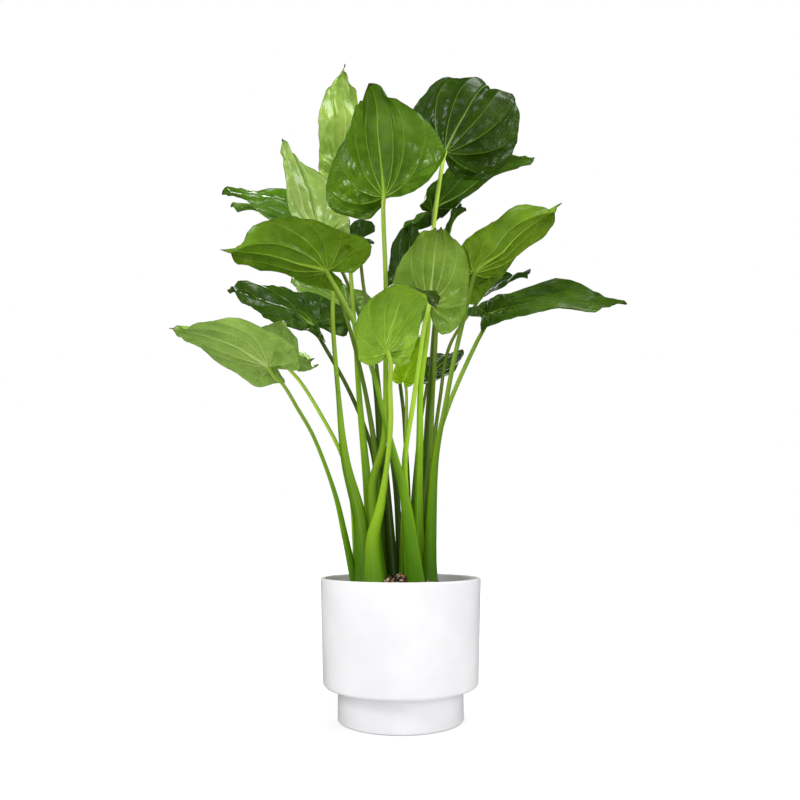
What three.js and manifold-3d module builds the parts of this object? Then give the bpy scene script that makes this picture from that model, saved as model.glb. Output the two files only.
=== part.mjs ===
// A potted hooded dwarf elephant ear, Alocasia cucullata, in a white stepped planter.
// Millimetres, +Z up, the origin at the middle of the flat underside of the planter's foot.
import * as THREE from "three";
import { mergeVertices } from "three/addons/utils/BufferGeometryUtils.js";
import Module from "manifold-3d";

const wasm = await Module();
wasm.setup();

// The planter: a round body that steps in to a narrower round foot
const planter = {
  rimRadius: 125,
  height: 207,
  bodyBottomRadius: 117.5,
  footRadius: 95,
  footHeight: 49,
  wall: 7,
  floor: 9,
  lip: 3,
  bodyEdge: 6,
  footEdge: 3,
  sides: 48,
  arcSteps: 3,
};

// The soil, lowest at the wall of the planter and mounded a little above its rim in the middle;
// moundPower is how the mound falls away, 1 straight and 2 domed
const soil = {
  clearance: 0.3,
  edgeLevel: 184,
  moundRise: 27,
  moundPower: 1.1,
  lump: 2.6,
  rings: 9,
  sides: 40,
  seed: 7,
};

// What all the blades share: the fold's rounding and the calm round the junction are lengths,
// ripple is the depth of the outline's ripples as a share of the half width, bendStart is the
// share of the midrib that stays straight, bendPower how late the bend comes after it and point
// how finely the outline tapers, from 0 for a broad blade to 1 for a pointed one
const blade = {
  thickness: 1,
  foldRounding: 6,
  calm: 55,
  waves: 5,
  waveShift: 40,
  ripple: 0.05,
  ripples: 7,
  bendStart: 0.15,
  bendPower: 1.3,
  point: 0.5,
  ribSteps: 40,
};

// What all the stalks share: sheathReach is the share of the stalk that the swollen base takes,
// and arrival is the least angle between the stalk's end and the blade
const petiole = {
  sides: 8,
  rings: 12,
  topWidth: 7,
  taper: 2,
  sheathReach: 0.55,
  sheathPower: 1.4,
  sheathDepth: 0.72,
  neck: 16,
  arrival: 30,
  gap: 0.3,
  sunk: 10,
};

// Half the outline of a flat blade from the drip tip to the notch where the stalk joins:
// first the share of the length along the midrib, or of the lobes where it is negative,
// then the share of the half width across it on a broad blade, and on a pointed one
const halfOutline = [
  [1, 0],
  [0.94, 0.03, 0.09],
  [0.88, 0.12, 0.19],
  [0.82, 0.36, 0.31],
  [0.69, 0.68, 0.54],
  [0.48, 0.91, 0.82],
  [0.2, 1],
  [-0.26, 0.93],
  [-0.8, 0.7],
  [-1, 0.42],
  [-0.76, 0.19],
  [-0.36, 0.06],
  [-0.12, 0],
];
const ringShares = [0.3, 0.62, 0.86, 1];

// The leaves, with places in millimetres and angles in degrees.
// junction is where the stalk meets the blade, tip is where the blade ends and faces is the way
// its upper side looks. halves are the widths of its two sides and lobes how far they reach
// behind the junction. sweep is how steeply the first side slants ahead, for a side that has
// no lobe of its own. bend is how far the midrib curls down towards the tip, late is a bendPower
// of its own, fold is how steeply the halves rise from it, wave the height of the margin's waves
// and point a taper of its own. sheath is the width of the stalk's base, base its place in the
// soil and route the places that the stalk passes on its way up.
const leaves = [
  {
    tone: "pale", bend: -20, fold: 0.3, wave: 6, point: 1,
    junction: [-106, 94, 939], tip: [-104, 43, 1144], faces: [7, -9, 2],
    halves: [77, 60], lobes: [28, 35],
    sheath: 20, base: [-44, 33],
    route: [[-54, 36, 337], [-70, 43, 494], [-82, 56, 641], [-93, 80, 759]],
  },
  {
    tone: "mid", bend: 80, late: 6, fold: 0.1, wave: 10, point: 1,
    junction: [-27, -72, 814], tip: [-50, -160, 952], faces: [5, 9, 4],
    halves: [106, 110], lobes: [18, 34], sweep: 0.4,
    sheath: 20, base: [-26, -4],
    route: [[-41, -12, 287], [-45, -16, 350], [-27, -25, 420], [-24, -44, 547], [-24, -58, 667]],
  },
  {
    tone: "dark", bend: -150, late: 2, fold: 0.12, wave: 6, point: 0,
    junction: [76, -44, 910], tip: [160, 12, 1036], faces: [0, 9, -3],
    halves: [98, 95], lobes: [30, 45],
    sheath: 19, base: [31, 7],
    route: [[28, 0, 298], [31, -5, 426], [33, -12, 512], [45, -20, 603], [55, -35, 776]],
  },
  {
    tone: "pale", bend: -10, fold: 0.3, wave: 4, point: 1,
    junction: [-148, 14, 784], tip: [-214, 14, 970], faces: [6, -9, 3],
    halves: [37, 70], lobes: [40, 22],
    sheath: 32, base: [-55, 0],
    route: [[-64, -3, 292], [-89, -6, 390], [-104, 4, 509], [-115, 10, 621], [-120, 13, 710]],
  },
  {
    tone: "mid", bend: 25, fold: 0.35, wave: 10, point: 1,
    junction: [-117, -90, 679], tip: [-263, -160, 679], faces: [-2, 4, 9],
    halves: [76, 56], lobes: [54, 36], sweep: -0.1,
    sheath: 28, base: [27, -28],
    route: [[7, -38, 325], [-23, -49, 442], [-46, -67, 531], [-73, -78, 598], [-95, -87, 640]],
  },
  {
    tone: "mid", bend: 10, fold: 0.3, wave: 8,
    junction: [-192, 174, 908], tip: [-377, 229, 981], faces: [-2, -6, 8],
    halves: [70, 58], lobes: [45, 45],
    sheath: 15, base: [-12, 44],
    route: [[-32, 62, 363], [-51, 82, 567], [-104, 104, 743]],
  },
  {
    tone: "dark", bend: 25, fold: 0.2, wave: 9,
    junction: [-153, 44, 631], tip: [-322, 102, 720], faces: [-1, -5, 9],
    halves: [76, 76], lobes: [50, 50],
    sheath: 16, base: [-22, 33],
    route: [[-45, 49, 396], [-63, 52, 456], [-94, 52, 526], [-127, 46, 584]],
  },
  {
    tone: "pale", bend: 20, fold: 0.25, wave: 6,
    junction: [-108, 167, 707], tip: [-230, 246, 793], faces: [-2, -5, 9],
    halves: [54, 54], lobes: [45, 45],
    sheath: 14, base: [2, 62],
    route: [[-10, 96, 365], [-39, 139, 516], [-73, 157, 637]],
  },
  {
    tone: "mid", bend: 152, fold: 0.05, wave: 3, point: 0.8,
    junction: [-20, -123, 539], tip: [50, -218, 572], faces: [-3, 2, 8],
    halves: [60, 60], lobes: [21, 21],
    sheath: 36, base: [-38, -30],
    route: [[-43, -33, 264], [-31, -41, 317], [-20, -66, 384], [-15, -85, 442], [-16, -107, 492]],
  },
  {
    tone: "pale", bend: 150, late: 6, fold: 0.06, wave: 1.5,
    junction: [45, -80, 629], tip: [56, -158, 712], faces: [0, 8, 7],
    halves: [62, 58], lobes: [48, 48],
    sheath: 20, base: [18, -8],
    route: [[8, -17, 326], [7, -26, 394], [20, -45, 477], [30, -61, 545], [38, -72, 599]],
  },
  {
    tone: "mid", bend: 20, fold: 0.25, wave: 10, point: 1,
    junction: [119, -58, 688], tip: [255, -116, 777], faces: [-3, 4, 8],
    halves: [82, 58], lobes: [45, 28],
    sheath: 24, base: [43, -10],
    route: [[48, -12, 292], [56, -20, 395], [71, -28, 473], [86, -34, 549], [103, -42, 620]],
  },
  {
    tone: "dark", bend: 20, fold: 0.2, wave: 6,
    junction: [152, 85, 709], tip: [246, 120, 756], faces: [1, -3, 9],
    halves: [50, 50], lobes: [35, 35],
    sheath: 14, base: [32, 42],
    route: [[49, 55, 363], [68, 66, 501], [88, 74, 604]],
  },
  {
    tone: "dark", bend: 40, fold: 0.2, wave: 9, point: 0,
    junction: [150, 7, 640], tip: [360, -58, 630], faces: [1, -9, 6],
    halves: [42, 56], lobes: [50, 8],
    sheath: 18, base: [50, 15],
    route: [[49, 14, 310], [60, 11, 420], [79, 9, 481], [97, 6, 524], [128, 3, 590]],
  },
  {
    tone: "dark", bend: 20, fold: 0.25, wave: 6,
    junction: [59, 87, 869], tip: [278, 174, 1024], faces: [-3, 2, 9],
    halves: [66, 66], lobes: [58, 34],
    sheath: 17, base: [18, 18],
    route: [[34, 25, 292], [47, 31, 394], [54, 43, 498], [62, 55, 620], [66, 70, 733]],
  },
  {
    tone: "dark", bend: 10, fold: 0.2, wave: 6,
    junction: [13, 53, 703], tip: [19, 80, 846], faces: [-2, -8, 4],
    halves: [40, 40], lobes: [30, 30],
    sheath: 14, base: [9, 36],
    route: [[12, 43, 328], [6, 48, 465], [-5, 49, 590]],
  },
  {
    tone: "dark", bend: 20, fold: 0.2, wave: 6,
    junction: [90, 116, 822], tip: [129, 174, 918], faces: [-4, 3, 8],
    halves: [45, 45], lobes: [35, 35],
    sheath: 14, base: [33, 63],
    route: [[40, 77, 364], [52, 90, 544], [68, 102, 698]],
  },
  {
    tone: "dark", bend: 20, fold: 0.2, wave: 6,
    junction: [-85, 145, 835], tip: [-150, 170, 820], faces: [-2, -8, 5],
    halves: [62, 50], lobes: [38, 38],
    sheath: 15, base: [-8, 24],
    route: [[-24, 37, 362], [-42, 49, 560], [-66, 67, 705]],
  },
  {
    tone: "young", bend: -10, fold: 0.4, wave: 2,
    junction: [6, 12, 526], tip: [32, 0, 601], faces: [-3, -9, 1],
    halves: [22, 22], lobes: [10, 10],
    sheath: 12, base: [2, 6],
    route: [[5, 7, 327], [9, 11, 441]],
  },
  {
    tone: "dark", bend: 20, fold: 0.2, wave: 4,
    junction: [52, 167, 569], tip: [126, 218, 629], faces: [-1, -5, 8],
    halves: [45, 45], lobes: [30, 30],
    sheath: 13, base: [16, 57],
    route: [[22, 88, 331], [34, 134, 453]],
  },
  {
    tone: "pale", bend: 25, fold: 0.2, wave: 5, point: 0.3,
    junction: [-196, -123, 517], tip: [-318, -203, 550], faces: [-1, 3, 9],
    halves: [56, 64], lobes: [40, 40],
    sheath: 13, base: [-68, 20],
    route: [[-88, -4, 270], [-102, -38, 335], [-134, -67, 421], [-155, -84, 458], [-177, -107, 494]],
  },
  {
    tone: "pale", bend: 20, fold: 0.2, wave: 6,
    junction: [-194, 0, 564], tip: [-130, -160, 513], faces: [6, 2, 7],
    halves: [38, 62], lobes: [45, 45],
    sheath: 14, base: [-68, 40],
    route: [[-79, 18, 327], [-96, 15, 398], [-132, 11, 467], [-167, 9, 522]],
  },
  {
    tone: "dark", bend: 20, fold: 0.2, wave: 6,
    junction: [-184, 58, 827], tip: [-322, 102, 881], faces: [-2, -5, 8],
    halves: [38, 58], lobes: [40, 40],
    sheath: 15, base: [-28, 12],
    route: [[-40, 12, 392], [-72, 18, 562], [-113, 34, 692]],
  },
];
const toneColours = { pale: "#8cb83a", mid: "#5f8f2c", dark: "#31571f", young: "#a6c81c" };
const finishes = {
  glaze: { color: "#f4f4f6", roughness: 0.35, metalness: 0 },
  mix: { color: "#4a3423", roughness: 0.95, metalness: 0 },
  stalk: { color: "#7fae35", roughness: 0.45, metalness: 0 },
};

// A repeatable run of numbers from 0 to 1
function seeded(seed) {
  const multiplier = 16807;
  const modulus = 2147483647;
  let state = seed;
  return () => {
    state = (state * multiplier) % modulus;
    return state / modulus;
  };
}

function geometryOf(points, triangles) {
  const geometry = new THREE.BufferGeometry();
  const places = points.flatMap((point) => point.toArray());
  geometry.setAttribute("position", new THREE.Float32BufferAttribute(places, 3));
  geometry.setIndex(triangles.flat());
  return geometry;
}

function solidOf(geometry) {
  const bare = geometry.clone();
  bare.deleteAttribute("normal");
  bare.deleteAttribute("uv");
  const merged = mergeVertices(bare, 1e-3);
  return new wasm.Manifold(
    new wasm.Mesh({
      numProp: 3,
      vertProperties: new Float32Array(merged.attributes.position.array),
      triVerts: new Uint32Array(merged.index.array),
    }),
  );
}

function geometryFrom(solid) {
  const mesh = solid.getMesh();
  const geometry = new THREE.BufferGeometry();
  geometry.setAttribute("position", new THREE.Float32BufferAttribute(mesh.vertProperties, mesh.numProp));
  geometry.setIndex(Array.from(mesh.triVerts));
  return geometry;
}

// Triangles of a closed body: a first point, rings of points outwards and down, and a last point
function capsAndRings(ringCount, sides) {
  const triangles = [];
  const last = 1 + ringCount * sides;
  for (let side = 0; side < sides; side += 1) {
    const next = (side + 1) % sides;
    triangles.push([0, 1 + side, 1 + next]);
    for (let ring = 0; ring < ringCount - 1; ring += 1) {
      const here = 1 + ring * sides;
      const there = here + sides;
      triangles.push([here + side, there + side, there + next]);
      triangles.push([here + side, there + next, here + next]);
    }
    const rim = 1 + (ringCount - 1) * sides;
    triangles.push([rim + side, last, rim + next]);
  }
  return triangles;
}

// A round edge of a profile, from one angle to the other in degrees
function roundEdge(centreRadius, centreHeight, radius, from, to) {
  const points = [];
  for (let i = 0; i <= planter.arcSteps; i += 1) {
    const angle = THREE.MathUtils.degToRad(from + ((to - from) * i) / planter.arcSteps);
    const across = centreRadius + radius * Math.cos(angle);
    points.push(new THREE.Vector2(across, centreHeight + radius * Math.sin(angle)));
  }
  return points;
}

// The radii and heights of the planter's inside, drawn in by a clearance
function insideOf(clearance) {
  return {
    foot: planter.footRadius - planter.wall - clearance,
    shelf: planter.bodyBottomRadius - planter.wall - clearance,
    mouth: planter.rimRadius - planter.wall - clearance,
    base: planter.floor + clearance,
    shelfHeight: planter.footHeight + planter.floor + clearance,
  };
}

function makePlanter() {
  const p = planter;
  const inside = insideOf(0);
  const profile = [
    new THREE.Vector2(0, 0),
    ...roundEdge(p.footRadius - p.footEdge, p.footEdge, p.footEdge, -90, 0),
    new THREE.Vector2(p.footRadius, p.footHeight),
    ...roundEdge(p.bodyBottomRadius - p.bodyEdge, p.footHeight + p.bodyEdge, p.bodyEdge, -90, 0),
    ...roundEdge(p.rimRadius - p.lip, p.height - p.lip, p.lip, 0, 90),
    ...roundEdge(inside.mouth + p.lip, p.height - p.lip, p.lip, 90, 180),
    new THREE.Vector2(inside.shelf, inside.shelfHeight),
    new THREE.Vector2(inside.foot, inside.shelfHeight),
    new THREE.Vector2(inside.foot, inside.base),
    new THREE.Vector2(0, inside.base),
  ];
  return new THREE.LatheGeometry(profile, p.sides).rotateX(Math.PI / 2);
}

function roundRow(radius, heightAt) {
  const row = [];
  for (let side = 0; side < soil.sides; side += 1) {
    const angle = (2 * Math.PI * side) / soil.sides;
    row.push(new THREE.Vector3(radius * Math.cos(angle), radius * Math.sin(angle), heightAt()));
  }
  return row;
}

// The soil is one solid: a lumpy mound on top and the planter's inside below
function makeSoil() {
  const inside = insideOf(soil.clearance);
  const wallTop = planter.height - planter.lip;
  const wallShare = (soil.edgeLevel - inside.shelfHeight) / (wallTop - inside.shelfHeight);
  const edge = THREE.MathUtils.lerp(inside.shelf, inside.mouth, wallShare);
  const random = seeded(soil.seed);
  const rows = [];
  for (let ring = 1; ring <= soil.rings; ring += 1) {
    const share = ring / soil.rings;
    const level = soil.edgeLevel + soil.moundRise * (1 - share ** soil.moundPower);
    const lump = ring < soil.rings ? soil.lump : 0;
    rows.push(roundRow(edge * share, () => level + (2 * random() - 1) * lump));
  }
  rows.push(roundRow(inside.shelf, () => inside.shelfHeight));
  rows.push(roundRow(inside.foot, () => inside.shelfHeight));
  rows.push(roundRow(inside.foot, () => inside.base));
  const top = new THREE.Vector3(0, 0, soil.edgeLevel + soil.moundRise);
  const bottom = new THREE.Vector3(0, 0, inside.base);
  return geometryOf([top, ...rows.flat(), bottom], capsAndRings(rows.length, soil.sides));
}

// How far the midrib has turned down at a share of its length
function bendAt(share, leaf) {
  const past = Math.max(0, (share - blade.bendStart) / (1 - blade.bendStart));
  return THREE.MathUtils.degToRad(leaf.bend) * past ** (leaf.late ?? blade.bendPower);
}

// The midrib as shares of its own length: how far along, how high and how far turned
function midrib(leaf) {
  const steps = blade.ribSteps;
  const points = [[0, 0, 0]];
  let along = 0;
  let down = 0;
  for (let i = 0; i < steps; i += 1) {
    const angle = bendAt((i + 0.5) / steps, leaf);
    along += Math.cos(angle) / steps;
    down += Math.sin(angle) / steps;
    points.push([along, -down, bendAt((i + 1) / steps, leaf)]);
  }
  return (share) => {
    if (share <= 0) return [share, 0, 0];
    const place = Math.min(share, 1) * steps;
    const i = Math.min(Math.floor(place), steps - 1);
    return points[i].map((value, k) => THREE.MathUtils.lerp(value, points[i + 1][k], place - i));
  };
}

// The place, the length and the directions of a leaf at its junction
function leafFrame(leaf) {
  const junction = new THREE.Vector3(...leaf.junction);
  const chord = new THREE.Vector3(...leaf.tip).sub(junction);
  const rib = midrib(leaf);
  const [along, height] = rib(1);
  const length = chord.length() / Math.hypot(along, height);
  const ahead = chord.normalize();
  const facing = new THREE.Vector3(...leaf.faces);
  facing.addScaledVector(ahead, -facing.dot(ahead)).normalize();
  const lift = Math.atan2(-height, along);
  const start = ahead.clone().multiplyScalar(Math.cos(lift)).addScaledVector(facing, Math.sin(lift));
  const up = facing.clone().multiplyScalar(Math.cos(lift)).addScaledVector(ahead, -Math.sin(lift));
  const side = new THREE.Vector3().crossVectors(up, start);
  return { junction, start, up, side, rib, length };
}

// A point of the blade's middle surface, from its place on the flat outline
function bladePoint(leaf, frame, share, across, ring, turn) {
  const [along, height, angle] = frame.rib(share);
  const fold = leaf.fold * (Math.hypot(across, blade.foldRounding) - blade.foldRounding);
  const away = Math.min(1, Math.hypot(share * frame.length, across) / blade.calm) ** 2;
  const rise = fold + leaf.wave * away * ring ** 3 * Math.sin(turn * blade.waves + leaf.waveTurn);
  return frame.junction
    .clone()
    .addScaledVector(frame.start, along * frame.length + rise * Math.sin(angle))
    .addScaledVector(frame.up, height * frame.length + rise * Math.cos(angle))
    .addScaledVector(frame.side, across);
}

// Half the outline of one leaf, between the broad and the pointed form
function outlineOf(leaf) {
  return halfOutline.map(([share, broad, pointed]) => {
    return [share, THREE.MathUtils.lerp(broad, pointed ?? broad, leaf.point ?? blade.point)];
  });
}

// How far the outline swings out or in at a turn, as a share of the half width
function rippleAt(leaf, across, turn) {
  const depth = Math.sign(across) * Math.min(1, 2 * Math.abs(across)) * blade.ripple;
  return depth * Math.sin(turn * blade.ripples + 2 * leaf.waveTurn);
}

// The middle surface of a blade: the junction, then rings that grow to the outline
function bladeSheet(leaf) {
  const frame = leafFrame(leaf);
  const half = outlineOf(leaf);
  const otherHalf = half.slice(1, -1).reverse();
  const rim = [...half, ...otherHalf.map(([share, across]) => [share, -across])];
  const points = [frame.junction.clone()];
  for (const ring of ringShares) {
    rim.forEach(([share, across], k) => {
      const side = k < half.length ? 0 : 1;
      const lobe = across === 0 ? Math.min(...leaf.lobes) : leaf.lobes[side];
      const turn = (2 * Math.PI * k) / rim.length;
      const out = (across + rippleAt(leaf, across, turn)) * leaf.halves[side];
      const slant = side === 0 ? ((leaf.sweep ?? 0) * out * (1 - share)) / frame.length : 0;
      const along = slant + (share < 0 ? (share * lobe) / frame.length : share);
      points.push(bladePoint(leaf, frame, along * ring, out * ring, ring, turn));
    });
  }
  const net = [];
  for (let k = 0; k < rim.length; k += 1) {
    const next = (k + 1) % rim.length;
    net.push([0, 1 + k, 1 + next]);
    for (let ring = 0; ring < ringShares.length - 1; ring += 1) {
      const here = 1 + ring * rim.length;
      const there = here + rim.length;
      net.push([here + k, there + k, there + next], [here + k, there + next, here + next]);
    }
  }
  return { points, net, rimCount: rim.length };
}

// A blade: the same net of triangles on both faces, closed along the outline
function makeBlade(leaf) {
  const { points, net, rimCount } = bladeSheet(leaf);
  const sheet = geometryOf(points, net);
  sheet.computeVertexNormals();
  const normals = sheet.getAttribute("normal");
  const face = (away) =>
    points.map((point, i) => {
      const normal = new THREE.Vector3().fromBufferAttribute(normals, i);
      return point.clone().addScaledVector(normal, away);
    });
  const count = points.length;
  const triangles = [...net, ...net.map(([a, b, c]) => [a + count, c + count, b + count])];
  const edge = count - rimCount;
  for (let k = 0; k < rimCount; k += 1) {
    const here = edge + k;
    const next = edge + ((k + 1) % rimCount);
    triangles.push([here, here + count, next + count], [here, next + count, next]);
  }
  return geometryOf([...face(blade.thickness / 2), ...face(-blade.thickness / 2)], triangles);
}

// A stalk's route from below the soil to just under its blade, and the way it arrives there
function stalkRoute(leaf, frame, clearance) {
  const seat = frame.junction.clone().addScaledVector(frame.up, -blade.thickness / 2 - petiole.gap);
  const base = new THREE.Vector3(...leaf.base, soil.edgeLevel - petiole.sunk - clearance);
  const between = leaf.route.map((place) => new THREE.Vector3(...place));
  const arrival = seat.clone().sub(between[between.length - 1]).normalize();
  const least = THREE.MathUtils.degToRad(petiole.arrival);
  if (arrival.dot(frame.up) < Math.sin(least)) {
    arrival.addScaledVector(frame.up, -arrival.dot(frame.up)).normalize();
    arrival.multiplyScalar(Math.cos(least)).addScaledVector(frame.up, Math.sin(least));
  }
  const neck = seat.clone().addScaledVector(arrival, -petiole.neck);
  return { points: [base, ...between, neck, seat], base, seat, arrival };
}

// A stalk: elliptic rings along its route, wide at the sheath and ending flat under the blade
function makePetiole(leaf, clearance) {
  const frame = leafFrame(leaf);
  const { points, base, seat, arrival } = stalkRoute(leaf, frame, clearance);
  const curve = new THREE.CatmullRomCurve3(points, false, "centripetal");
  const neckShare = 1 - petiole.neck / curve.getLength();
  const rings = [];
  for (let i = 0; i <= petiole.rings; i += 1) {
    const atTop = i === petiole.rings;
    const share = atTop ? 1 : (neckShare * i) / (petiole.rings - 1);
    const place = curve.getPointAt(share);
    const along = atTop ? arrival : curve.getTangentAt(share);
    const across = new THREE.Vector3(1, 0, 0).addScaledVector(along, -along.x).normalize();
    const deep = new THREE.Vector3().crossVectors(along, across);
    const swell = Math.max(0, 1 - share / petiole.sheathReach) ** petiole.sheathPower;
    const slim = petiole.topWidth + petiole.taper * (1 - share) + 2 * clearance;
    const width = slim + (leaf.sheath - petiole.topWidth) * swell;
    const depth = width * THREE.MathUtils.lerp(1, petiole.sheathDepth, swell);
    for (let side = 0; side < petiole.sides; side += 1) {
      const angle = (2 * Math.PI * (side + 0.5)) / petiole.sides;
      const point = place
        .clone()
        .addScaledVector(across, (width / 2) * Math.cos(angle))
        .addScaledVector(deep, (depth / 2) * Math.sin(angle));
      if (atTop) {
        const short = seat.clone().sub(point).dot(frame.up) / arrival.dot(frame.up);
        point.addScaledVector(arrival, short);
      }
      rings.push(point);
    }
  }
  const sides = petiole.sides;
  const downwards = [];
  for (let i = petiole.rings; i >= 0; i -= 1) downwards.push(...rings.slice(i * sides, (i + 1) * sides));
  return geometryOf([seat, ...downwards, base], capsAndRings(petiole.rings + 1, sides));
}

function meshOf(name, geometry, finish) {
  const loose = geometry.index ? geometry.toNonIndexed() : geometry;
  loose.computeVertexNormals();
  const mesh = new THREE.Mesh(loose, new THREE.MeshStandardMaterial(finish));
  mesh.name = name;
  return mesh;
}

const plant = new THREE.Group();
plant.add(meshOf("planter", makePlanter(), finishes.glaze));

let ground = solidOf(makeSoil());
leaves.forEach((leaf, index) => {
  const number = String(index + 1).padStart(2, "0");
  leaf.waveTurn = THREE.MathUtils.degToRad(index * blade.waveShift);
  ground = ground.subtract(solidOf(makePetiole(leaf, soil.clearance)));
  plant.add(meshOf(`petiole_${number}`, makePetiole(leaf, 0), finishes.stalk));
  const colour = { color: toneColours[leaf.tone], roughness: 0.4, metalness: 0 };
  plant.add(meshOf(`leaf_blade_${number}`, makeBlade(leaf), colour));
});
plant.add(meshOf("soil", geometryFrom(ground), finishes.mix));

export default plant;
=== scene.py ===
import math

import bmesh
import bpy
import numpy as np
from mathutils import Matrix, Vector
from mathutils.noise import noise as noiseAt


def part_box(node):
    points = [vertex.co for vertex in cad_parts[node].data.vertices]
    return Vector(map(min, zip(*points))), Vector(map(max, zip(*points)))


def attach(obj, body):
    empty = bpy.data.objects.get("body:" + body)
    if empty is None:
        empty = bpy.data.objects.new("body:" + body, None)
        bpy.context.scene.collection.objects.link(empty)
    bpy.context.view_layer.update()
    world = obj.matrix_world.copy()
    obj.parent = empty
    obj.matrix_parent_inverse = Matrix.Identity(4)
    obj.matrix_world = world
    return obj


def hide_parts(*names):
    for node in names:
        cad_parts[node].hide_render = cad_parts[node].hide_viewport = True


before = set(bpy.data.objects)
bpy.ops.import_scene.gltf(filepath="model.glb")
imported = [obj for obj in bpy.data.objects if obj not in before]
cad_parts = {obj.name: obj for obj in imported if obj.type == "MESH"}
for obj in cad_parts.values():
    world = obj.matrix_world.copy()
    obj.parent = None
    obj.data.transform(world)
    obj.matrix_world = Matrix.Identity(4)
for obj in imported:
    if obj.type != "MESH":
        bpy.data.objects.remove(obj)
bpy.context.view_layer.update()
scene = bpy.context.scene
print("frame loaded:", len(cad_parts), "nodes")


def linear(code):
    # a hex colour as Blender's linear values
    parts = [int(code[i:i + 2], 16) / 255 for i in (1, 3, 5)]
    return tuple(((p + 0.055) / 1.055) ** 2.4 if p > 0.04045 else p / 12.92 for p in parts) + (1,)


# Camera, at the place that fits the ellipses of the planter's rim and foot

cameraSetup = {
    "place": (-0.0011, -1.115, 0.275),
    "tiltUp": 10.9,  # degrees above level
    "lens": 31.05,
    "sensor": 36.0,
}


def makeCamera(setup):
    data = bpy.data.cameras.new("camera")
    data.lens = setup["lens"]
    data.sensor_width = setup["sensor"]
    camera = bpy.data.objects.new("camera", data)
    camera.location = setup["place"]
    camera.rotation_euler = (math.radians(90 + setup["tiltUp"]), 0, 0)
    scene.collection.objects.link(camera)
    scene.camera = camera


makeCamera(cameraSetup)


# Node helpers. A nodeValue is one output of a node, and can be reckoned with like a number

class nodeValue:
    def __init__(self, socket):
        self.socket = socket
        self.tree = socket.id_data

    def __add__(self, other):
        return calc("ADD", self, other)

    def __sub__(self, other):
        return calc("SUBTRACT", self, other)

    def __rsub__(self, other):
        return calc("SUBTRACT", other, self)

    def __mul__(self, other):
        return calc("MULTIPLY", self, other)

    def __truediv__(self, other):
        return calc("DIVIDE", self, other)

    def __pow__(self, other):
        return calc("POWER", self, other)


def feed(node, inputs):
    # sets the inputs of a node: a nodeValue is linked, and a text with # is a colour
    for name, value in inputs.items():
        socket = node.inputs[name]
        if isinstance(value, nodeValue):
            value.tree.links.new(value.socket, socket)
        elif isinstance(value, str) and value.startswith("#"):
            socket.default_value = linear(value)
        else:
            socket.default_value = value


def addNode(tree, kind, inputs=None, **settings):
    node = tree.nodes.new(kind)
    for name, value in settings.items():
        setattr(node, name, value)
    feed(node, inputs or {})
    return node


def valueOf(tree, kind, inputs=None, out=0, **settings):
    return nodeValue(addNode(tree, kind, inputs, **settings).outputs[out])


def treeOf(*values):
    return next(value.tree for value in values if isinstance(value, nodeValue))


def calc(operation, *values):
    return valueOf(treeOf(*values), "ShaderNodeMath", dict(enumerate(values)), operation=operation)


def vectorCalc(operation, *values, out="Vector"):
    inputs = dict(enumerate(values))
    return valueOf(treeOf(*values), "ShaderNodeVectorMath", inputs, out, operation=operation)


def scaled(vector, scale):
    inputs = {0: vector, "Scale": scale}
    return valueOf(vector.tree, "ShaderNodeVectorMath", inputs, operation="SCALE")


def vectorFrom(x, y, z=0.0):
    return valueOf(treeOf(x, y, z), "ShaderNodeCombineXYZ", {0: x, 1: y, 2: z})


def partsOf(vector):
    node = addNode(vector.tree, "ShaderNodeSeparateXYZ", {0: vector})
    return [nodeValue(socket) for socket in node.outputs]


def ramp(value, low, high, start=0.0, end=1.0):
    # a smooth rise from start to end while value goes from low to high
    inputs = {"Value": value, "From Min": low, "From Max": high, "To Min": start, "To Max": end}
    return valueOf(value.tree, "ShaderNodeMapRange", inputs, interpolation_type="SMOOTHSTEP")


def mixColour(share, first, second):
    inputs = {0: share, 6: first, 7: second}
    return valueOf(treeOf(share, first, second), "ShaderNodeMix", inputs, 2, data_type="RGBA")


def noise(place, scale, detail=3.0, roughness=0.55):
    inputs = {"Vector": place, "Scale": scale, "Detail": detail, "Roughness": roughness}
    return valueOf(place.tree, "ShaderNodeTexNoise", inputs)


def bump(height, strength, distance):
    inputs = {"Height": height, "Strength": strength, "Distance": distance}
    return valueOf(height.tree, "ShaderNodeBump", inputs)


def attributeOf(tree, name, out="Vector"):
    return valueOf(tree, "ShaderNodeAttribute", out=out, attribute_name=name)


def objectCoordinates(tree):
    return valueOf(tree, "ShaderNodeTexCoord", out="Object")


def newTree(name, kind, inputs, outputs):
    # a node group: an input is given as its default number, or as its kind where it has none
    tree = bpy.data.node_groups.new(name, kind)
    for label, value in inputs.items():
        socketKind = value if isinstance(value, str) else type(value).__name__.capitalize()
        socket = tree.interface.new_socket(label, in_out="INPUT", socket_type="NodeSocket" + socketKind)
        if socketKind != value:
            socket.default_value = value
    for label, socketKind in outputs.items():
        tree.interface.new_socket(label, in_out="OUTPUT", socket_type="NodeSocket" + socketKind)
    given = {socket.name: nodeValue(socket) for socket in tree.nodes.new("NodeGroupInput").outputs}
    return tree, given, tree.nodes.new("NodeGroupOutput")


def useGroup(tree, group, inputs):
    node = addNode(tree, "ShaderNodeGroup", inputs, node_tree=group)
    return {socket.name: nodeValue(socket) for socket in node.outputs}


def newMaterial(name):
    material = bpy.data.materials.new(name)
    material.use_nodes = True
    tree = material.node_tree
    return material, tree, tree.nodes["Principled BSDF"]


# Steps of the geometry trees

def stored(geometry, name, value, kind="FLOAT", domain="POINT"):
    inputs = {"Geometry": geometry, "Name": name, "Value": value}
    return valueOf(geometry.tree, "GeometryNodeStoreNamedAttribute", inputs, data_type=kind, domain=domain)


def readBack(tree, name, kind="FLOAT"):
    return valueOf(tree, "GeometryNodeInputNamedAttribute", {"Name": name}, data_type=kind)


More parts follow.
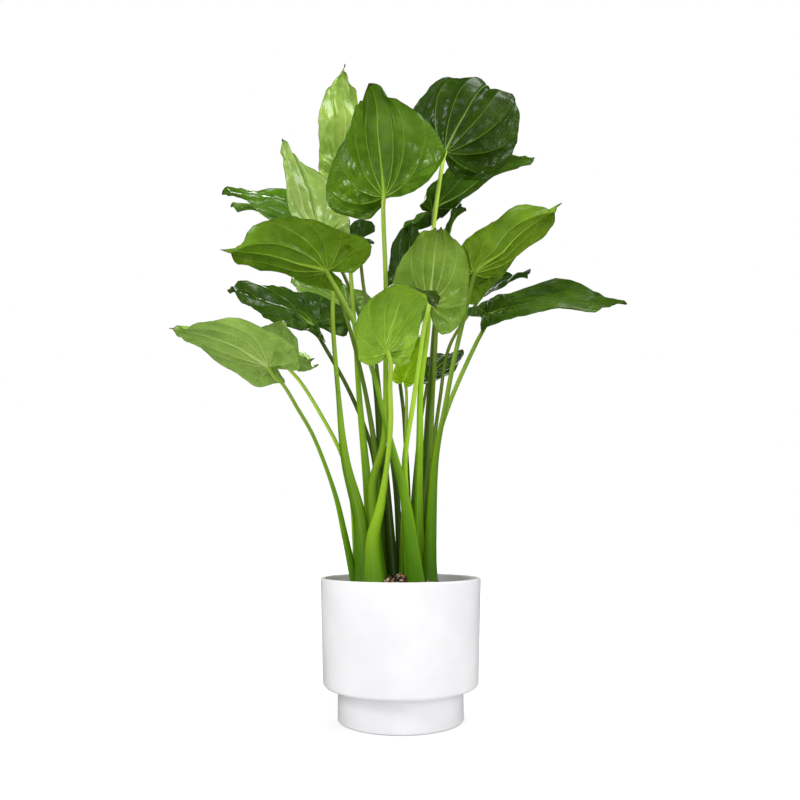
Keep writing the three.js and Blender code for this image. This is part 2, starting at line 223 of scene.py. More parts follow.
def ringOf(sides):
    inputs = {"Resolution": sides, "Radius": 1.0}
    return valueOf(sides.tree, "GeometryNodeCurvePrimitiveCircle", inputs)


def swept(path, section, scale, caps):
    inputs = {"Curve": path, "Profile Curve": section, "Scale": scale, "Fill Caps": caps}
    return valueOf(path.tree, "GeometryNodeCurveToMesh", inputs)


def moved(geometry, offset):
    return valueOf(geometry.tree, "GeometryNodeSetPosition", {"Geometry": geometry, "Offset": offset})


def smoothed(geometry):
    return valueOf(geometry.tree, "GeometryNodeSetShadeSmooth", {"Geometry": geometry})


def realized(*geometries):
    # all of these in one mesh, with no instances left
    tree = geometries[0].tree
    joint = addNode(tree, "GeometryNodeJoinGeometry")
    for geometry in geometries:
        tree.links.new(geometry.socket, joint.inputs[0])
    return valueOf(tree, "GeometryNodeRealizeInstances", {"Geometry": nodeValue(joint.outputs[0])})


def painted(geometry, material, where=True):
    inputs = {"Geometry": geometry, "Selection": where, "Material": material}
    return valueOf(geometry.tree, "GeometryNodeSetMaterial", inputs)


def runModifier(holder, tree, values, name):
    # runs a geometry tree on an object and keeps the result as a plain mesh
    modifier = holder.modifiers.new(name, "NODES")
    modifier.node_group = tree
    for item in tree.interface.items_tree:
        if item.item_type == "SOCKET" and item.in_out == "INPUT" and item.name in values:
            modifier[item.identifier] = values[item.name]
    bpy.context.view_layer.update()
    evaluated = holder.evaluated_get(bpy.context.evaluated_depsgraph_get())
    mesh = bpy.data.meshes.new_from_object(evaluated)
    holder.modifiers.remove(modifier)
    mesh.name = name
    return mesh


def newObject(name, data):
    added = bpy.data.objects.new(name, data)
    scene.collection.objects.link(added)
    return added


def newPolyline(name, points):
    # a curve object of straight runs, from (x, y, z, radius of the corner) rows
    data = bpy.data.curves.new(name, "CURVE")
    data.dimensions = "3D"
    spline = data.splines.new("POLY")
    spline.points.add(len(points) - 1)
    for point, (x, y, z, radius) in zip(spline.points, points):
        point.co = (x, y, z, 1)
        point.radius = radius
    return newObject(name, data)


def makePiece(name, slot, node, holder, tree, values, *leftOvers):
    # runs the tree on a holder, clears the helpers away and hangs the piece in its node's place
    mesh = runModifier(holder, tree, values, name)
    for helper in (holder, *leftOvers):
        bpy.data.objects.remove(helper)
    piece = newObject(name, mesh)
    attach(piece, "root")
    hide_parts(node)


# Effects that more than one material uses

def makeVeinGroup():
    # what a leaf's skin needs of the veins: the ribs, painted shade beside them and a fine net.
    # Vein holds the gap to the nearest vein in widths of it, how far out and the place between two
    tree, given, out = newTree(
        "leafVeins", "ShaderNodeTree",
        {"Vein": "Vector", "Rib Edge": 2.0, "Rib Core": 0.7, "Vein Shade Edge": 11.0, "Side Veins": 13.0,
         "Slant": 5.0, "Net Width": 0.1},
        {"Ribs": "Float", "Vein Shade": "Float", "Net": "Float"})
    gap, outwards, between = partsOf(given["Vein"])
    steps = outwards * given["Side Veins"] + between * given["Slant"]
    comb = calc("ABSOLUTE", calc("FRACT", steps) - 0.5)
    feed(out, {"Ribs": ramp(gap, given["Rib Edge"], given["Rib Core"]),
               "Vein Shade": ramp(gap, given["Vein Shade Edge"], 0.0),
               "Net": ramp(comb, given["Net Width"], 0.0)})
    return tree


def makeMottleGroup():
    # soft blotches of growth, smaller dimples and fine grain, for leaves and stalks
    tree, given, out = newTree(
        "growthMottle", "ShaderNodeTree",
        {"Place": "Vector", "Scale": 14.0, "Dimple Scale": 5.0, "Grain Scale": 30.0},
        {"Blotches": "Float", "Grain": "Float", "Dimples": "Float"})
    place, scale = given["Place"], given["Scale"]
    feed(out, {"Blotches": ramp(noise(place, scale), 0.34, 0.66),
               "Dimples": ramp(noise(place, scale * given["Dimple Scale"], 1.0), 0.3, 0.7),
               "Grain": noise(place, scale * given["Grain Scale"], 2.0)})
    return tree


veinGroup = makeVeinGroup()
mottleGroup = makeMottleGroup()


# Leaf materials: an upper side, an underside and the raised ribs for each tone

leafTones = {
    "pale": {
        "upper": "#8fb648", "deep": "#74a038", "under": "#8ab04a", "underDeep": "#729a3c",
        "rib": "#c0d67c", "gloss": 0.2, "shine": 0.55},
    "mid": {
        "upper": "#5c8a12", "deep": "#446c0c", "under": "#5e8816", "underDeep": "#48700e",
        "rib": "#a2ca3a", "gloss": 0.19, "shine": 0.4},
    "dark": {
        "upper": "#33540a", "deep": "#1f3c06", "under": "#38590a", "underDeep": "#264206",
        "rib": "#78a028", "gloss": 0.23, "shine": 0.24},
    "young": {
        "upper": "#a8d404", "deep": "#90c004", "under": "#acd606", "underDeep": "#94c204",
        "rib": "#bcdc38", "gloss": 0.3, "shine": 0.2},
}
# The tints are partly the leaves' own colour and partly painted light: 7, 9, 13 and 22 above all are
# brightened and whitened for the light and sheen on them
leafTintAndLights = {  # how much red, green and blue a leaf has of its tone, by number, partly painted light and sheen
    1: (1.45, 1.25, 1.3), 2: (1.0, 0.98, 0.8), 3: (0.85, 0.82, 0.3), 4: (1.3, 1.1, 1.5),
    5: (1.45, 1.25, 1.1), 7: (1.6, 1.4, 1.7), 9: (2.9, 2.3, 4.6), 10: (0.9, 0.9, 0.5),
    11: (1.7, 1.4, 1.3), 13: (2.1, 1.7, 2.6), 14: (2.0, 1.9, 1.9), 20: (1.35, 1.25, 1.3),
    21: (1.4, 1.25, 1.4), 22: (3.6, 2.9, 5.5),
}
upperShades = {9: 0.13, 10: 0.3}  # two curled tips show a darker upper side
leafLook = {  # four numbers are a ramp: from here to there, and the values at both
    "blotches": 0.6,  # shares of the blotches and of the dimples, a mottling whose dimple hollows are also painted darker as shade
    "dimpleShade": 0.4,
    "veinShade": 0.22,  # painted shade beside a vein: how dark the skin is there
    "net": 0.1,  # how much the fine veins show
    "ribs": (0.35, 0.95, 0.85, 0.25),  # the ribs show less further out
    "margin": (0.975, 1.0, 0.0, 1.0),
    "marginShare": 0.55,
    "marginTone": "#2a4410",
    "dryTip": (0.955, 0.985, 0.0, 1.0),  # along the blade, with an uneven edge
    "dryUneven": 0.05,
    "dryTone": "#4a3a22",
    "polish": (-0.04, 0.08),  # how far the grain moves the gloss
    "underside": 0.03,  # which is rougher by this
    "grainHeight": 0.2,
    "netHeight": 0.35,  # the fine veins are sunk above and raised below
    "dimpleHeight": (0.45, 0.02, 0.4, 2.2),  # the skin dimples most near the lobes
    "reliefStrength": 0.5,
    "relief": 0.0013,
}
ribLook = {
    "mottle": 0.25,
    "mottleScale": 40.0,
    "roughness": (0.3, 0.7, 0.32, 0.46),
    "reliefStrength": 0.2,
    "relief": 0.0003,
}


def leafMaterial(tone, side):
    values = leafTones[tone]
    look = leafLook
    isUpper = side == "Upper"
    main, deep = ("upper", "deep") if isUpper else ("under", "underDeep")
    material, tree, surface = newMaterial(f"leaf{side}{tone.capitalize()}")
    outwards, along, _ = partsOf(attributeOf(tree, "leafDetail"))
    veins = useGroup(tree, veinGroup, {"Vein": attributeOf(tree, "leafVein")})
    growth = useGroup(tree, mottleGroup, {"Place": objectCoordinates(tree)})
    # the blotches mottle the tone, and the dimples' hollows get painted shade
    patches = growth["Blotches"] * look["blotches"] + growth["Dimples"] * look["dimpleShade"]
    colour = mixColour(patches, values[deep], values[main])
    # painted shade beside the veins
    colour = mixColour(veins["Vein Shade"] * look["veinShade"], colour, values[deep])
    colour = mixColour(veins["Net"] * look["net"], colour, values["rib"])
    colour = mixColour(veins["Ribs"] * ramp(outwards, *look["ribs"]), colour, values["rib"])
    margin = ramp(outwards, *look["margin"]) * look["marginShare"]
    colour = mixColour(margin, colour, look["marginTone"])
    # each leaf's tint, partly painted light and sheen
    colour = vectorCalc("MULTIPLY", colour, attributeOf(tree, "leafTintAndLight"))
    dryTip = ramp(along + (growth["Grain"] - 0.5) * look["dryUneven"], *look["dryTip"])
    rough = ramp(growth["Grain"], 0.3, 0.7, *(values["gloss"] + change for change in look["polish"]))
    netHeight = -look["netHeight"] if isUpper else look["netHeight"]
    fine = growth["Grain"] * look["grainHeight"] + veins["Net"] * netHeight
    relief = fine + growth["Dimples"] * ramp(along, *look["dimpleHeight"])
    feed(surface, {
        "Base Color": mixColour(dryTip, colour, look["dryTone"]),
        "Roughness": rough if isUpper else rough + look["underside"],
        "Specular IOR Level": values["shine"],
        "Normal": bump(relief, look["reliefStrength"], look["relief"])})
    return material


def ribMaterial(tone):
    values = leafTones[tone]
    material, tree, surface = newMaterial(f"leafRib{tone.capitalize()}")
    inputs = {"Place": objectCoordinates(tree), "Scale": ribLook["mottleScale"]}
    growth = useGroup(tree, mottleGroup, inputs)
    mottled = mixColour(growth["Blotches"], values["rib"], values["under"])
    feed(surface, {
        "Base Color": mixColour(ribLook["mottle"], values["rib"], mottled),
        "Roughness": ramp(growth["Grain"], *ribLook["roughness"]),
        "Normal": bump(growth["Grain"], ribLook["reliefStrength"], ribLook["relief"])})
    return material


leafMaterials = {
    tone: {"Upper": leafMaterial(tone, "Upper"), "Under": leafMaterial(tone, "Under"),
           "Rib": ribMaterial(tone)}
    for tone in leafTones
}
print("leaf materials made")


# Leaf shape: the same rule as the solids, on a finer net whose lines follow the veins

leafShape = {
    "thickness": 0.0008,
    "foldRounding": 0.006,
    "calm": 0.055,  # the waves fade out this near the stalk
    "calmPower": 2,
    "waves": 5,
    "wavePower": 3,  # how late the waves grow on the way out to the margin
    "waveShift": 40,  # degrees from one leaf to the next
    "ripple": 0.05,  # of the half width
    "ripples": 7,
    "bendStart": 0.15,
    "focus": 1.04,  # the veins aim this far along the midrib
    "veinStep": 28,  # degrees between veins where they leave the stalk
    "veinSway": 5,  # degrees that a vein may stray
    "between": (0.0, 0.05, 0.15, 0.28, 0.42, 0.58, 0.72, 0.85, 0.95),  # net lines from vein to vein
    "ringLength": 0.0034,
    "ringsMost": 56,
    "frill": 0.003,  # small waves of the margin on top of the large ones
    "frills": 13,
    "frillPower": 6,
    "crinkle": 0.0022,  # uneven crinkles of the margin, across the blade
    "crinkleSize": 0.011,
    "crinklePower": 5,
    "nick": 0.024,  # and along it, as a share of the blade
}
leafRelief = {
    "grown": 0.2,  # a shorter blade has a fainter relief
    "rise": 3,  # full at a third of the way out to the margin
    "fall": 2.4,  # and how fast it sinks again before this share of the way
    "end": 1.06,
    "quilt": 0.0052,  # how far the blade swells between its veins
    "quiltPower": 0.7,
    "pucker": 0.0082,  # fine hills and hollows, least near the midrib and most on the lobes
    "puckerSize": 0.02,
    "puckerPower": 0.4,
    "puckerLeast": 0.3,
    "puckerFrom": 40,  # degrees from the midrib
    "puckerOver": 60,
    "puckerDetail": 0.3,  # finer ones on top
    "billow": 0.0125,  # broad soft folds, half of them drawn out along the veins
    "billowSize": 0.075,
    "billowStart": 0.05,
    "drawnOut": 0.35,
    "drawnAcross": 0.05,
    "drawnSize": 0.6,
}
leafRibs = {
    "reach": 1.04,
    "top": 0.0032,  # the half width of the midrib at the stalk and further on
    "topPower": 5,
    "slim": 0.0008,
    "slimPower": 0.5,
    "side": 0.0007,
    "sidePower": 1.1,
    "fade": 0.09,  # each side rib is thinner than the one before
    "least": 0.0003,  # for the material
    "full": 0.18,  # a shorter blade has thinner ribs
    "end": 0.74,  # where the side ribs sink into the blade
}
outlineSize = 24  # places round the flat outline, as on the solids
halfOutline = [  # share along the midrib, then across on a broad blade and on a pointed one
    (1, 0, 0), (0.94, 0.03, 0.09), (0.88, 0.12, 0.19), (0.82, 0.36, 0.31), (0.69, 0.68, 0.54),
    (0.48, 0.91, 0.82), (0.2, 1, 1), (-0.26, 0.93, 0.93), (-0.8, 0.7, 0.7), (-1, 0.42, 0.42),
    (-0.76, 0.19, 0.19), (-0.36, 0.06, 0.06), (-0.12, 0, 0),
]

# A row for each leaf and its stalk, with lengths in millimetres: the tone, the bend in degrees and
# how late it comes, the fold, the waves' height, how pointed the blade is, how far its first half
# sweeps back, where the stalk joins it, where the tip ends, the way the upper side looks, the widths
# of the two halves, the reach of the two lobes, and the stalk's sheath, base and route
leafColumns = ("tone", "bend", "late", "fold", "wave", "point", "sweep", "junction", "tip", "faces",
               "halves", "lobes", "sheath", "base", "route")
leafLengths = ("wave", "junction", "tip", "halves", "lobes", "sheath", "base", "route")
leafTable = [
    ("pale", -20, 1.3, 0.3, 6, 1, 0, (-106, 94, 939), (-104, 43, 1144), (7, -9, 2),
     (77, 60), (28, 35), 20, (-44, 33), [(-54, 36, 337), (-70, 43, 494), (-82, 56, 641),
     (-93, 80, 759)]),
    ("mid", 80, 6, 0.1, 10, 1, 0.4, (-27, -72, 814), (-50, -160, 952), (5, 9, 4),
     (106, 110), (18, 34), 20, (-26, -4), [(-41, -12, 287), (-45, -16, 350), (-27, -25, 420),
     (-24, -44, 547), (-24, -58, 667)]),
    ("dark", -150, 2, 0.12, 6, 0, 0, (76, -44, 910), (160, 12, 1036), (0, 9, -3),
     (98, 95), (30, 45), 19, (31, 7), [(28, 0, 298), (31, -5, 426), (33, -12, 512), (45, -20, 603),
     (55, -35, 776)]),
    ("pale", -10, 1.3, 0.3, 4, 1, 0, (-148, 14, 784), (-214, 14, 970), (6, -9, 3),
     (37, 70), (40, 22), 32, (-55, 0), [(-64, -3, 292), (-89, -6, 390), (-104, 4, 509),
     (-115, 10, 621), (-120, 13, 710)]),
    ("mid", 25, 1.3, 0.35, 10, 1, -0.1, (-117, -90, 679), (-263, -160, 679), (-2, 4, 9),
     (76, 56), (54, 36), 28, (27, -28), [(7, -38, 325), (-23, -49, 442), (-46, -67, 531),
     (-73, -78, 598), (-95, -87, 640)]),
    ("mid", 10, 1.3, 0.3, 8, 0.5, 0, (-192, 174, 908), (-377, 229, 981), (-2, -6, 8),
     (70, 58), (45, 45), 15, (-12, 44), [(-32, 62, 363), (-51, 82, 567), (-104, 104, 743)]),
    ("dark", 25, 1.3, 0.2, 9, 0.5, 0, (-153, 44, 631), (-322, 102, 720), (-1, -5, 9),
     (76, 76), (50, 50), 16, (-22, 33), [(-45, 49, 396), (-63, 52, 456), (-94, 52, 526),
     (-127, 46, 584)]),
    ("pale", 20, 1.3, 0.25, 6, 0.5, 0, (-108, 167, 707), (-230, 246, 793), (-2, -5, 9),
     (54, 54), (45, 45), 14, (2, 62), [(-10, 96, 365), (-39, 139, 516), (-73, 157, 637)]),
    ("mid", 152, 1.3, 0.05, 3, 0.8, 0, (-20, -123, 539), (50, -218, 572), (-3, 2, 8),
     (60, 60), (21, 21), 36, (-38, -30), [(-43, -33, 264), (-31, -41, 317), (-20, -66, 384),
     (-15, -85, 442), (-16, -107, 492)]),
    ("pale", 150, 6, 0.06, 1.5, 0.5, 0, (45, -80, 629), (56, -158, 712), (0, 8, 7),
     (62, 58), (48, 48), 20, (18, -8), [(8, -17, 326), (7, -26, 394), (20, -45, 477), (30, -61, 545),
     (38, -72, 599)]),
    ("mid", 20, 1.3, 0.25, 10, 1, 0, (119, -58, 688), (255, -116, 777), (-3, 4, 8),
     (82, 58), (45, 28), 24, (43, -10), [(48, -12, 292), (56, -20, 395), (71, -28, 473),
     (86, -34, 549), (103, -42, 620)]),
    ("dark", 20, 1.3, 0.2, 6, 0.5, 0, (152, 85, 709), (246, 120, 756), (1, -3, 9),
     (50, 50), (35, 35), 14, (32, 42), [(49, 55, 363), (68, 66, 501), (88, 74, 604)]),
    ("dark", 40, 1.3, 0.2, 9, 0, 0, (150, 7, 640), (360, -58, 630), (1, -9, 6),
     (42, 56), (50, 8), 18, (50, 15), [(49, 14, 310), (60, 11, 420), (79, 9, 481), (97, 6, 524),
     (128, 3, 590)]),
    ("dark", 20, 1.3, 0.25, 6, 0.5, 0, (59, 87, 869), (278, 174, 1024), (-3, 2, 9),
     (66, 66), (58, 34), 17, (18, 18), [(34, 25, 292), (47, 31, 394), (54, 43, 498), (62, 55, 620),
     (66, 70, 733)]),
    ("dark", 10, 1.3, 0.2, 6, 0.5, 0, (13, 53, 703), (19, 80, 846), (-2, -8, 4),
     (40, 40), (30, 30), 14, (9, 36), [(12, 43, 328), (6, 48, 465), (-5, 49, 590)]),
    ("dark", 20, 1.3, 0.2, 6, 0.5, 0, (90, 116, 822), (129, 174, 918), (-4, 3, 8),
     (45, 45), (35, 35), 14, (33, 63), [(40, 77, 364), (52, 90, 544), (68, 102, 698)]),
    ("dark", 20, 1.3, 0.2, 6, 0.5, 0, (-85, 145, 835), (-150, 170, 820), (-2, -8, 5),
     (62, 50), (38, 38), 15, (-8, 24), [(-24, 37, 362), (-42, 49, 560), (-66, 67, 705)]),
    ("young", -10, 1.3, 0.4, 2, 0.5, 0, (6, 12, 526), (32, 0, 601), (-3, -9, 1),
     (22, 22), (10, 10), 12, (2, 6), [(5, 7, 327), (9, 11, 441)]),
    ("dark", 20, 1.3, 0.2, 4, 0.5, 0, (52, 167, 569), (126, 218, 629), (-1, -5, 8),
     (45, 45), (30, 30), 13, (16, 57), [(22, 88, 331), (34, 134, 453)]),
    ("pale", 25, 1.3, 0.2, 5, 0.3, 0, (-196, -123, 517), (-318, -203, 550), (-1, 3, 9),
     (56, 64), (40, 40), 13, (-68, 20), [(-88, -4, 270), (-102, -38, 335), (-134, -67, 421),
     (-155, -84, 458), (-177, -107, 494)]),
    ("pale", 20, 1.3, 0.2, 6, 0.5, 0, (-194, 0, 564), (-130, -160, 513), (6, 2, 7),
     (38, 62), (45, 45), 14, (-68, 40), [(-79, 18, 327), (-96, 15, 398), (-132, 11, 467),
     (-167, 9, 522)]),
    ("dark", 20, 1.3, 0.2, 6, 0.5, 0, (-184, 58, 827), (-322, 102, 881), (-2, -5, 8),
     (38, 58), (40, 40), 15, (-28, 12), [(-40, 12, 392), (-72, 18, 562), (-113, 34, 692)]),
]


def metres(value):
    return [metres(part) for part in value] if isinstance(value, (tuple, list)) else value / 1000


def readRow(numbers):
    row = dict(zip(leafColumns, numbers))
    return {name: metres(value) if name in leafLengths else value for name, value in row.items()}


leafRows = [readRow(numbers) for numbers in leafTable]


def unit(vector):
    return vector / np.linalg.norm(vector)


def bendAt(share, row):
    past = np.clip((share - leafShape["bendStart"]) / (1 - leafShape["bendStart"]), 0, None)
    return math.radians(row["bend"]) * past ** row["late"]


def midrib(row):
    # shares of the midrib's own length: how far along, how high and how far turned
    steps = 40
    angles = bendAt((np.arange(steps) + 0.5) / steps, row)
    along = np.concatenate([[0], np.cumsum(np.cos(angles)) / steps])
    height = np.concatenate([[0], -np.cumsum(np.sin(angles)) / steps])
    stations = np.arange(steps + 1) / steps

    def at(share):
        ahead = np.where(share < 0, share, np.interp(share, stations, along))
        turned = np.interp(np.clip(share, 0, 1), stations, bendAt(stations, row))
        return ahead, np.interp(share, stations, height), turned

    return at


def leafFrame(row):
    # the blade's own axes, turned so that its bent midrib ends at the tip
    junction = np.array(row["junction"])
    chord = np.array(row["tip"]) - junction
    rib = midrib(row)
    along, height, _ = rib(np.array(1.0))
    length = np.linalg.norm(chord) / math.hypot(along, height)
    ahead = unit(chord)
    facing = np.array(row["faces"], float)
    facing = unit(facing - facing.dot(ahead) * ahead)
    lift = math.atan2(-height, along)
    start = ahead * math.cos(lift) + facing * math.sin(lift)
    up = facing * math.cos(lift) - ahead * math.sin(lift)
    return {"junction": junction, "start": start, "up": up, "side": np.cross(up, start), "rib": rib,
            "length": length}


def smoothThrough(points, places):
    # a smooth line through points, read at places counted in points
    points = np.array(points, float)
    padded = np.array([2 * points[0] - points[1], *points, 2 * points[-1] - points[-2]])
    low = np.clip(np.floor(places).astype(int), 0, len(points) - 2)
    t = (places - low)[:, None]
    p0, p1, p2, p3 = (padded[low + i] for i in range(4))
    return 0.5 * (2 * p1 + (p2 - p0) * t + (2 * p0 - 5 * p1 + 4 * p2 - p3) * t ** 2
                  + (3 * p1 - p0 - 3 * p2 + p3) * t ** 3)


def launchAngle(along, across, focus):
    # the angle from the midrib at which the vein through a place leaves the stalk
    return np.pi - np.arctan2(np.abs(across) * focus, along ** 2 + across ** 2 - along * focus)


def flatOutline(row, length, half, phase):
    # the corners of one side of the flat blade, with the ripples of its margin
    corners = []
    for place, (share, broad, pointed) in enumerate(halfOutline):
        across = broad + (pointed - broad) * row["point"]
        turn = 2 * math.pi * (outlineSize - place if half else place) / outlineSize
        swell = math.sin(turn * leafShape["ripples"] + 2 * phase)
        out = (across + leafShape["ripple"] * min(1, 2 * across) * swell) * row["halves"][half]
        reach = length if share >= 0 else row["lobes"][half] if across else min(row["lobes"])
        slant = 0 if half else row["sweep"] * out * (1 - share)
        corners.append((share * reach + slant, out))
    return corners


def swing(places, size, seed):
    # smooth hills and hollows of about this size, from -1 to 1
    return np.array([noiseAt(Vector((x / size, y / size, seed))) for x, y in places])


def halfNet(row, length, half, phase):
    # where the net lines of one side meet the outline, which of them are veins, and how far
    # each lies from one vein to the next
    random = np.random.default_rng(int(round(math.degrees(phase))) * 2 + half)
    corners = flatOutline(row, length, half, phase)
    places = np.linspace(0, len(halfOutline) - 1, 1201)
    outline = smoothThrough(corners, places)
    crinkle = swing(outline * (1, -1 if half else 1), leafShape["crinkleSize"], phase)
    outline = outline * (1 + leafShape["nick"] * crinkle)[:, None]
    focus = leafShape["focus"] * length
    angles = np.degrees(launchAngle(outline[:, 0], np.clip(outline[:, 1], 0, None), focus))
    angles[0] = 0
    angles = np.maximum.accumulate(angles)
    step = leafShape["veinStep"]
    launches = step * np.arange(1, 6) + random.uniform(-1, 1, 5) * leafShape["veinSway"]
    launches = launches[launches < angles[-2] - step / 3]
    stops = [0.0, *np.interp(launches, angles, places), len(halfOutline) - 1.0]
    at, veins = [], []
    for number, (low, high) in enumerate(zip(stops, stops[1:])):
        at += [low + (high - low) * share for share in leafShape["between"]]
        veins += [-1 if share else number for share in leafShape["between"]]
    at.append(stops[-1])
    veins.append(-1)
    ends = np.stack([np.interp(at, places, outline[:, i]) for i in (0, 1)], axis=1)
    past = np.array([*leafShape["between"]] * (len(stops) - 1) + [1.0])
    return np.array(at), ends, veins, past


def alongArc(end, share, focus):
    # the places from the stalk to an outline point, on the arc that aims at the focus
    launch = launchAngle(end[0], end[1], focus)
    if math.sin(launch) < 0.01:
        return np.outer(share, end)
    radius = focus / (2 * math.sin(launch))
    centre = np.array([focus / 2, -radius * math.cos(launch)])
    toStart = -centre
    toEnd = end - centre
    cross = toEnd[0] * toStart[1] - toEnd[1] * toStart[0]
    turned = math.atan2(cross, toStart.dot(toEnd)) % (2 * math.pi)
    angle = launch - turned * share
    return radius * np.stack([math.sin(launch) - np.sin(angle), np.cos(angle) - math.cos(launch)], axis=1)


def quiltHeight(flat, share, between, length, phase):
    # the blade swells between its veins, folds softly and puckers finely near the lobes
    angle = np.degrees(launchAngle(flat[:, 0], flat[:, 1], leafShape["focus"] * length))
    form = leafRelief
    swell = np.sin(np.pi * between) ** form["quiltPower"]
    reach = np.clip(share * form["rise"], 0, 1) * np.clip((form["end"] - share) * form["fall"], 0, 1)
    low = form["puckerLeast"] + np.clip((angle - form["puckerFrom"]) / form["puckerOver"], 0, 1)
    near = np.linalg.norm(flat, axis=1)
    sideways = np.radians(angle) * np.sign(flat[:, 1]) * form["drawnAcross"]
    drawn = np.column_stack([near * form["drawnOut"], sideways])
    broad, fine = form["billowSize"], form["puckerSize"]
    billow = swing(drawn, broad * form["drawnSize"], phase) + swing(flat, broad, phase + 9)
    pucker = swing(flat, fine, phase + 5) + form["puckerDetail"] * swing(flat, fine / 2, phase)
    size = min(1.0, length / form["grown"])
    return size * reach * (form["quilt"] * swell
                           + form["pucker"] * pucker * low * swell ** form["puckerPower"]
                           + form["billow"] * billow * np.clip(near / form["billowStart"], 0, 1))


def placeBlade(row, leaf, flat, share, between, turn, phase):
    # from the flat blade to the folded, waved and bent one
    form = leafShape
    along, height, angle = leaf["rib"](flat[:, 0] / leaf["length"])
    across = flat[:, 1]
    fold = row["fold"] * (np.hypot(across, form["foldRounding"]) - form["foldRounding"])
    away = np.clip(np.linalg.norm(flat, axis=1) / form["calm"], 0, 1) ** form["calmPower"]
    waves = np.sin(turn * form["waves"] + phase)
    rise = fold + row["wave"] * away * share ** form["wavePower"] * waves
    frills = np.sin(turn * form["frills"] + 5 * phase)
    frill = form["frill"] * away * share ** form["frillPower"] * frills
    size = min(1.0, leaf["length"] / leafRelief["grown"]) ** 2
    uneven = swing(flat, form["crinkleSize"], phase + 3)
    crinkle = size * form["crinkle"] * away * share ** form["crinklePower"] * uneven
    rise = rise + frill + crinkle + quiltHeight(flat, share, between, leaf["length"], phase)
    ahead = along * leaf["length"] + rise * np.sin(angle)
    lift = height * leaf["length"] + rise * np.cos(angle)
    return (leaf["junction"] + np.outer(ahead, leaf["start"]) + np.outer(lift, leaf["up"])
            + np.outer(across, leaf["side"]))


def bladeSheet(row, index):
    # the middle surface: the junction, then rings of places that grow to the outline
    leaf = leafFrame(row)
    length = leaf["length"]
    phase = math.radians(index * leafShape["waveShift"])
    first, other = (halfNet(row, length, half, phase) for half in (0, 1))
    inner = slice(-2, 0, -1)  # the second side runs back, without the places that both share
    at = np.concatenate([first[0], outlineSize - other[0][inner]])
    ends = np.concatenate([first[1], other[1][inner]])
    ways = np.concatenate([np.ones(len(first[0])), -np.ones(len(other[0]) - 2)])
    veins = first[2] + [vein if vein < 0 else vein + 10 for vein in other[2][inner]]
    past = np.concatenate([first[3], other[3][inner]])
    rings = min(leafShape["ringsMost"], int(length / leafShape["ringLength"]))
    shares = np.arange(1, rings + 1) / rings
    focus = leafShape["focus"] * length
    arcs = np.stack([alongArc(end, shares, focus) * (1, way) for end, way in zip(ends, ways)], axis=1)
    flat = np.concatenate([[[0, 0]], arcs.reshape(-1, 2)])
    share = np.concatenate([[0], np.repeat(shares, len(at))])
    turn = np.concatenate([[0], np.tile(2 * np.pi * at / outlineSize, rings)])
    between = np.concatenate([[0], np.tile(past, rings)])
    middle = placeBlade(row, leaf, flat, share, between, turn, phase)
    return leaf, flat, share, between, middle, veins, rings


def netFaces(rings, lines):
    # triangles round the junction, then quads out to the outline
    faces = [(0, 1 + k, 1 + (k + 1) % lines) for k in range(lines)]
    for here in range(1, 1 + (rings - 1) * lines, lines):
        there = here + lines
        faces += [(here + k, there + k, there + (k + 1) % lines, here + (k + 1) % lines)
                  for k in range(lines)]
    return faces


def vertexNormals(points, faces):
    corners = np.array([(*face, face[0]) if len(face) == 3 else face for face in faces])
    a, b, c, d = (points[corners[:, i]] for i in range(4))
    across = np.cross(c - a, d - b)
    across = np.where((corners[:, 3] == corners[:, 0])[:, None], np.cross(b - a, c - a), across)
    normals = np.zeros_like(points)
    for corner in range(4):
        np.add.at(normals, corners[:, corner], across)
    return normals / np.linalg.norm(normals, axis=1)[:, None]


def setAttribute(mesh, name, kind, domain, values):
    field = {"FLOAT_VECTOR": "vector"}.get(kind, "value")
    mesh.attributes.new(name, kind, domain).data.foreach_set(field, np.asarray(values).ravel())


def ribRadii(vein, shares):
    # the half width of a vein at shares of its length: the midrib is thick at the stalk
    form = leafRibs
    left = 1 - shares / form["reach"]
    if vein == 0:
        extra = form["top"] - form["slim"]
        return form["slim"] * left ** form["slimPower"] + extra * left ** form["topPower"]
    return form["side"] * (1 - form["fade"] * (vein % 10)) * left ** form["sidePower"]


def veinPlaces(middle, flat, between, veins, rings, length):
    # for the material: how far the nearest vein is in widths of it, how far out, and the place
    # between two veins
    lines = len(veins)
    shares = np.arange(1, rings + 1) / rings
    net = middle[1:].reshape(rings, lines, 3)
    gap = np.full((rings, lines), 40.0)
    for k, vein in enumerate(veins):
        if vein < 0 or (vein % 10 == 0 and vein > 0):
            continue
        width = np.maximum(ribRadii(vein, shares), leafRibs["least"])[:, None]
        gap = np.minimum(gap, np.linalg.norm(net - net[:, k:k + 1], axis=2) / width)
    focus = np.array([leafShape["focus"] * length, 0])
    far = np.linalg.norm(flat - focus, axis=1)
    outwards = np.log(np.maximum(np.linalg.norm(flat, axis=1), 0.002) / far)
    return np.column_stack([np.concatenate([[0], gap.ravel()]), outwards, np.abs(between - 0.5)])


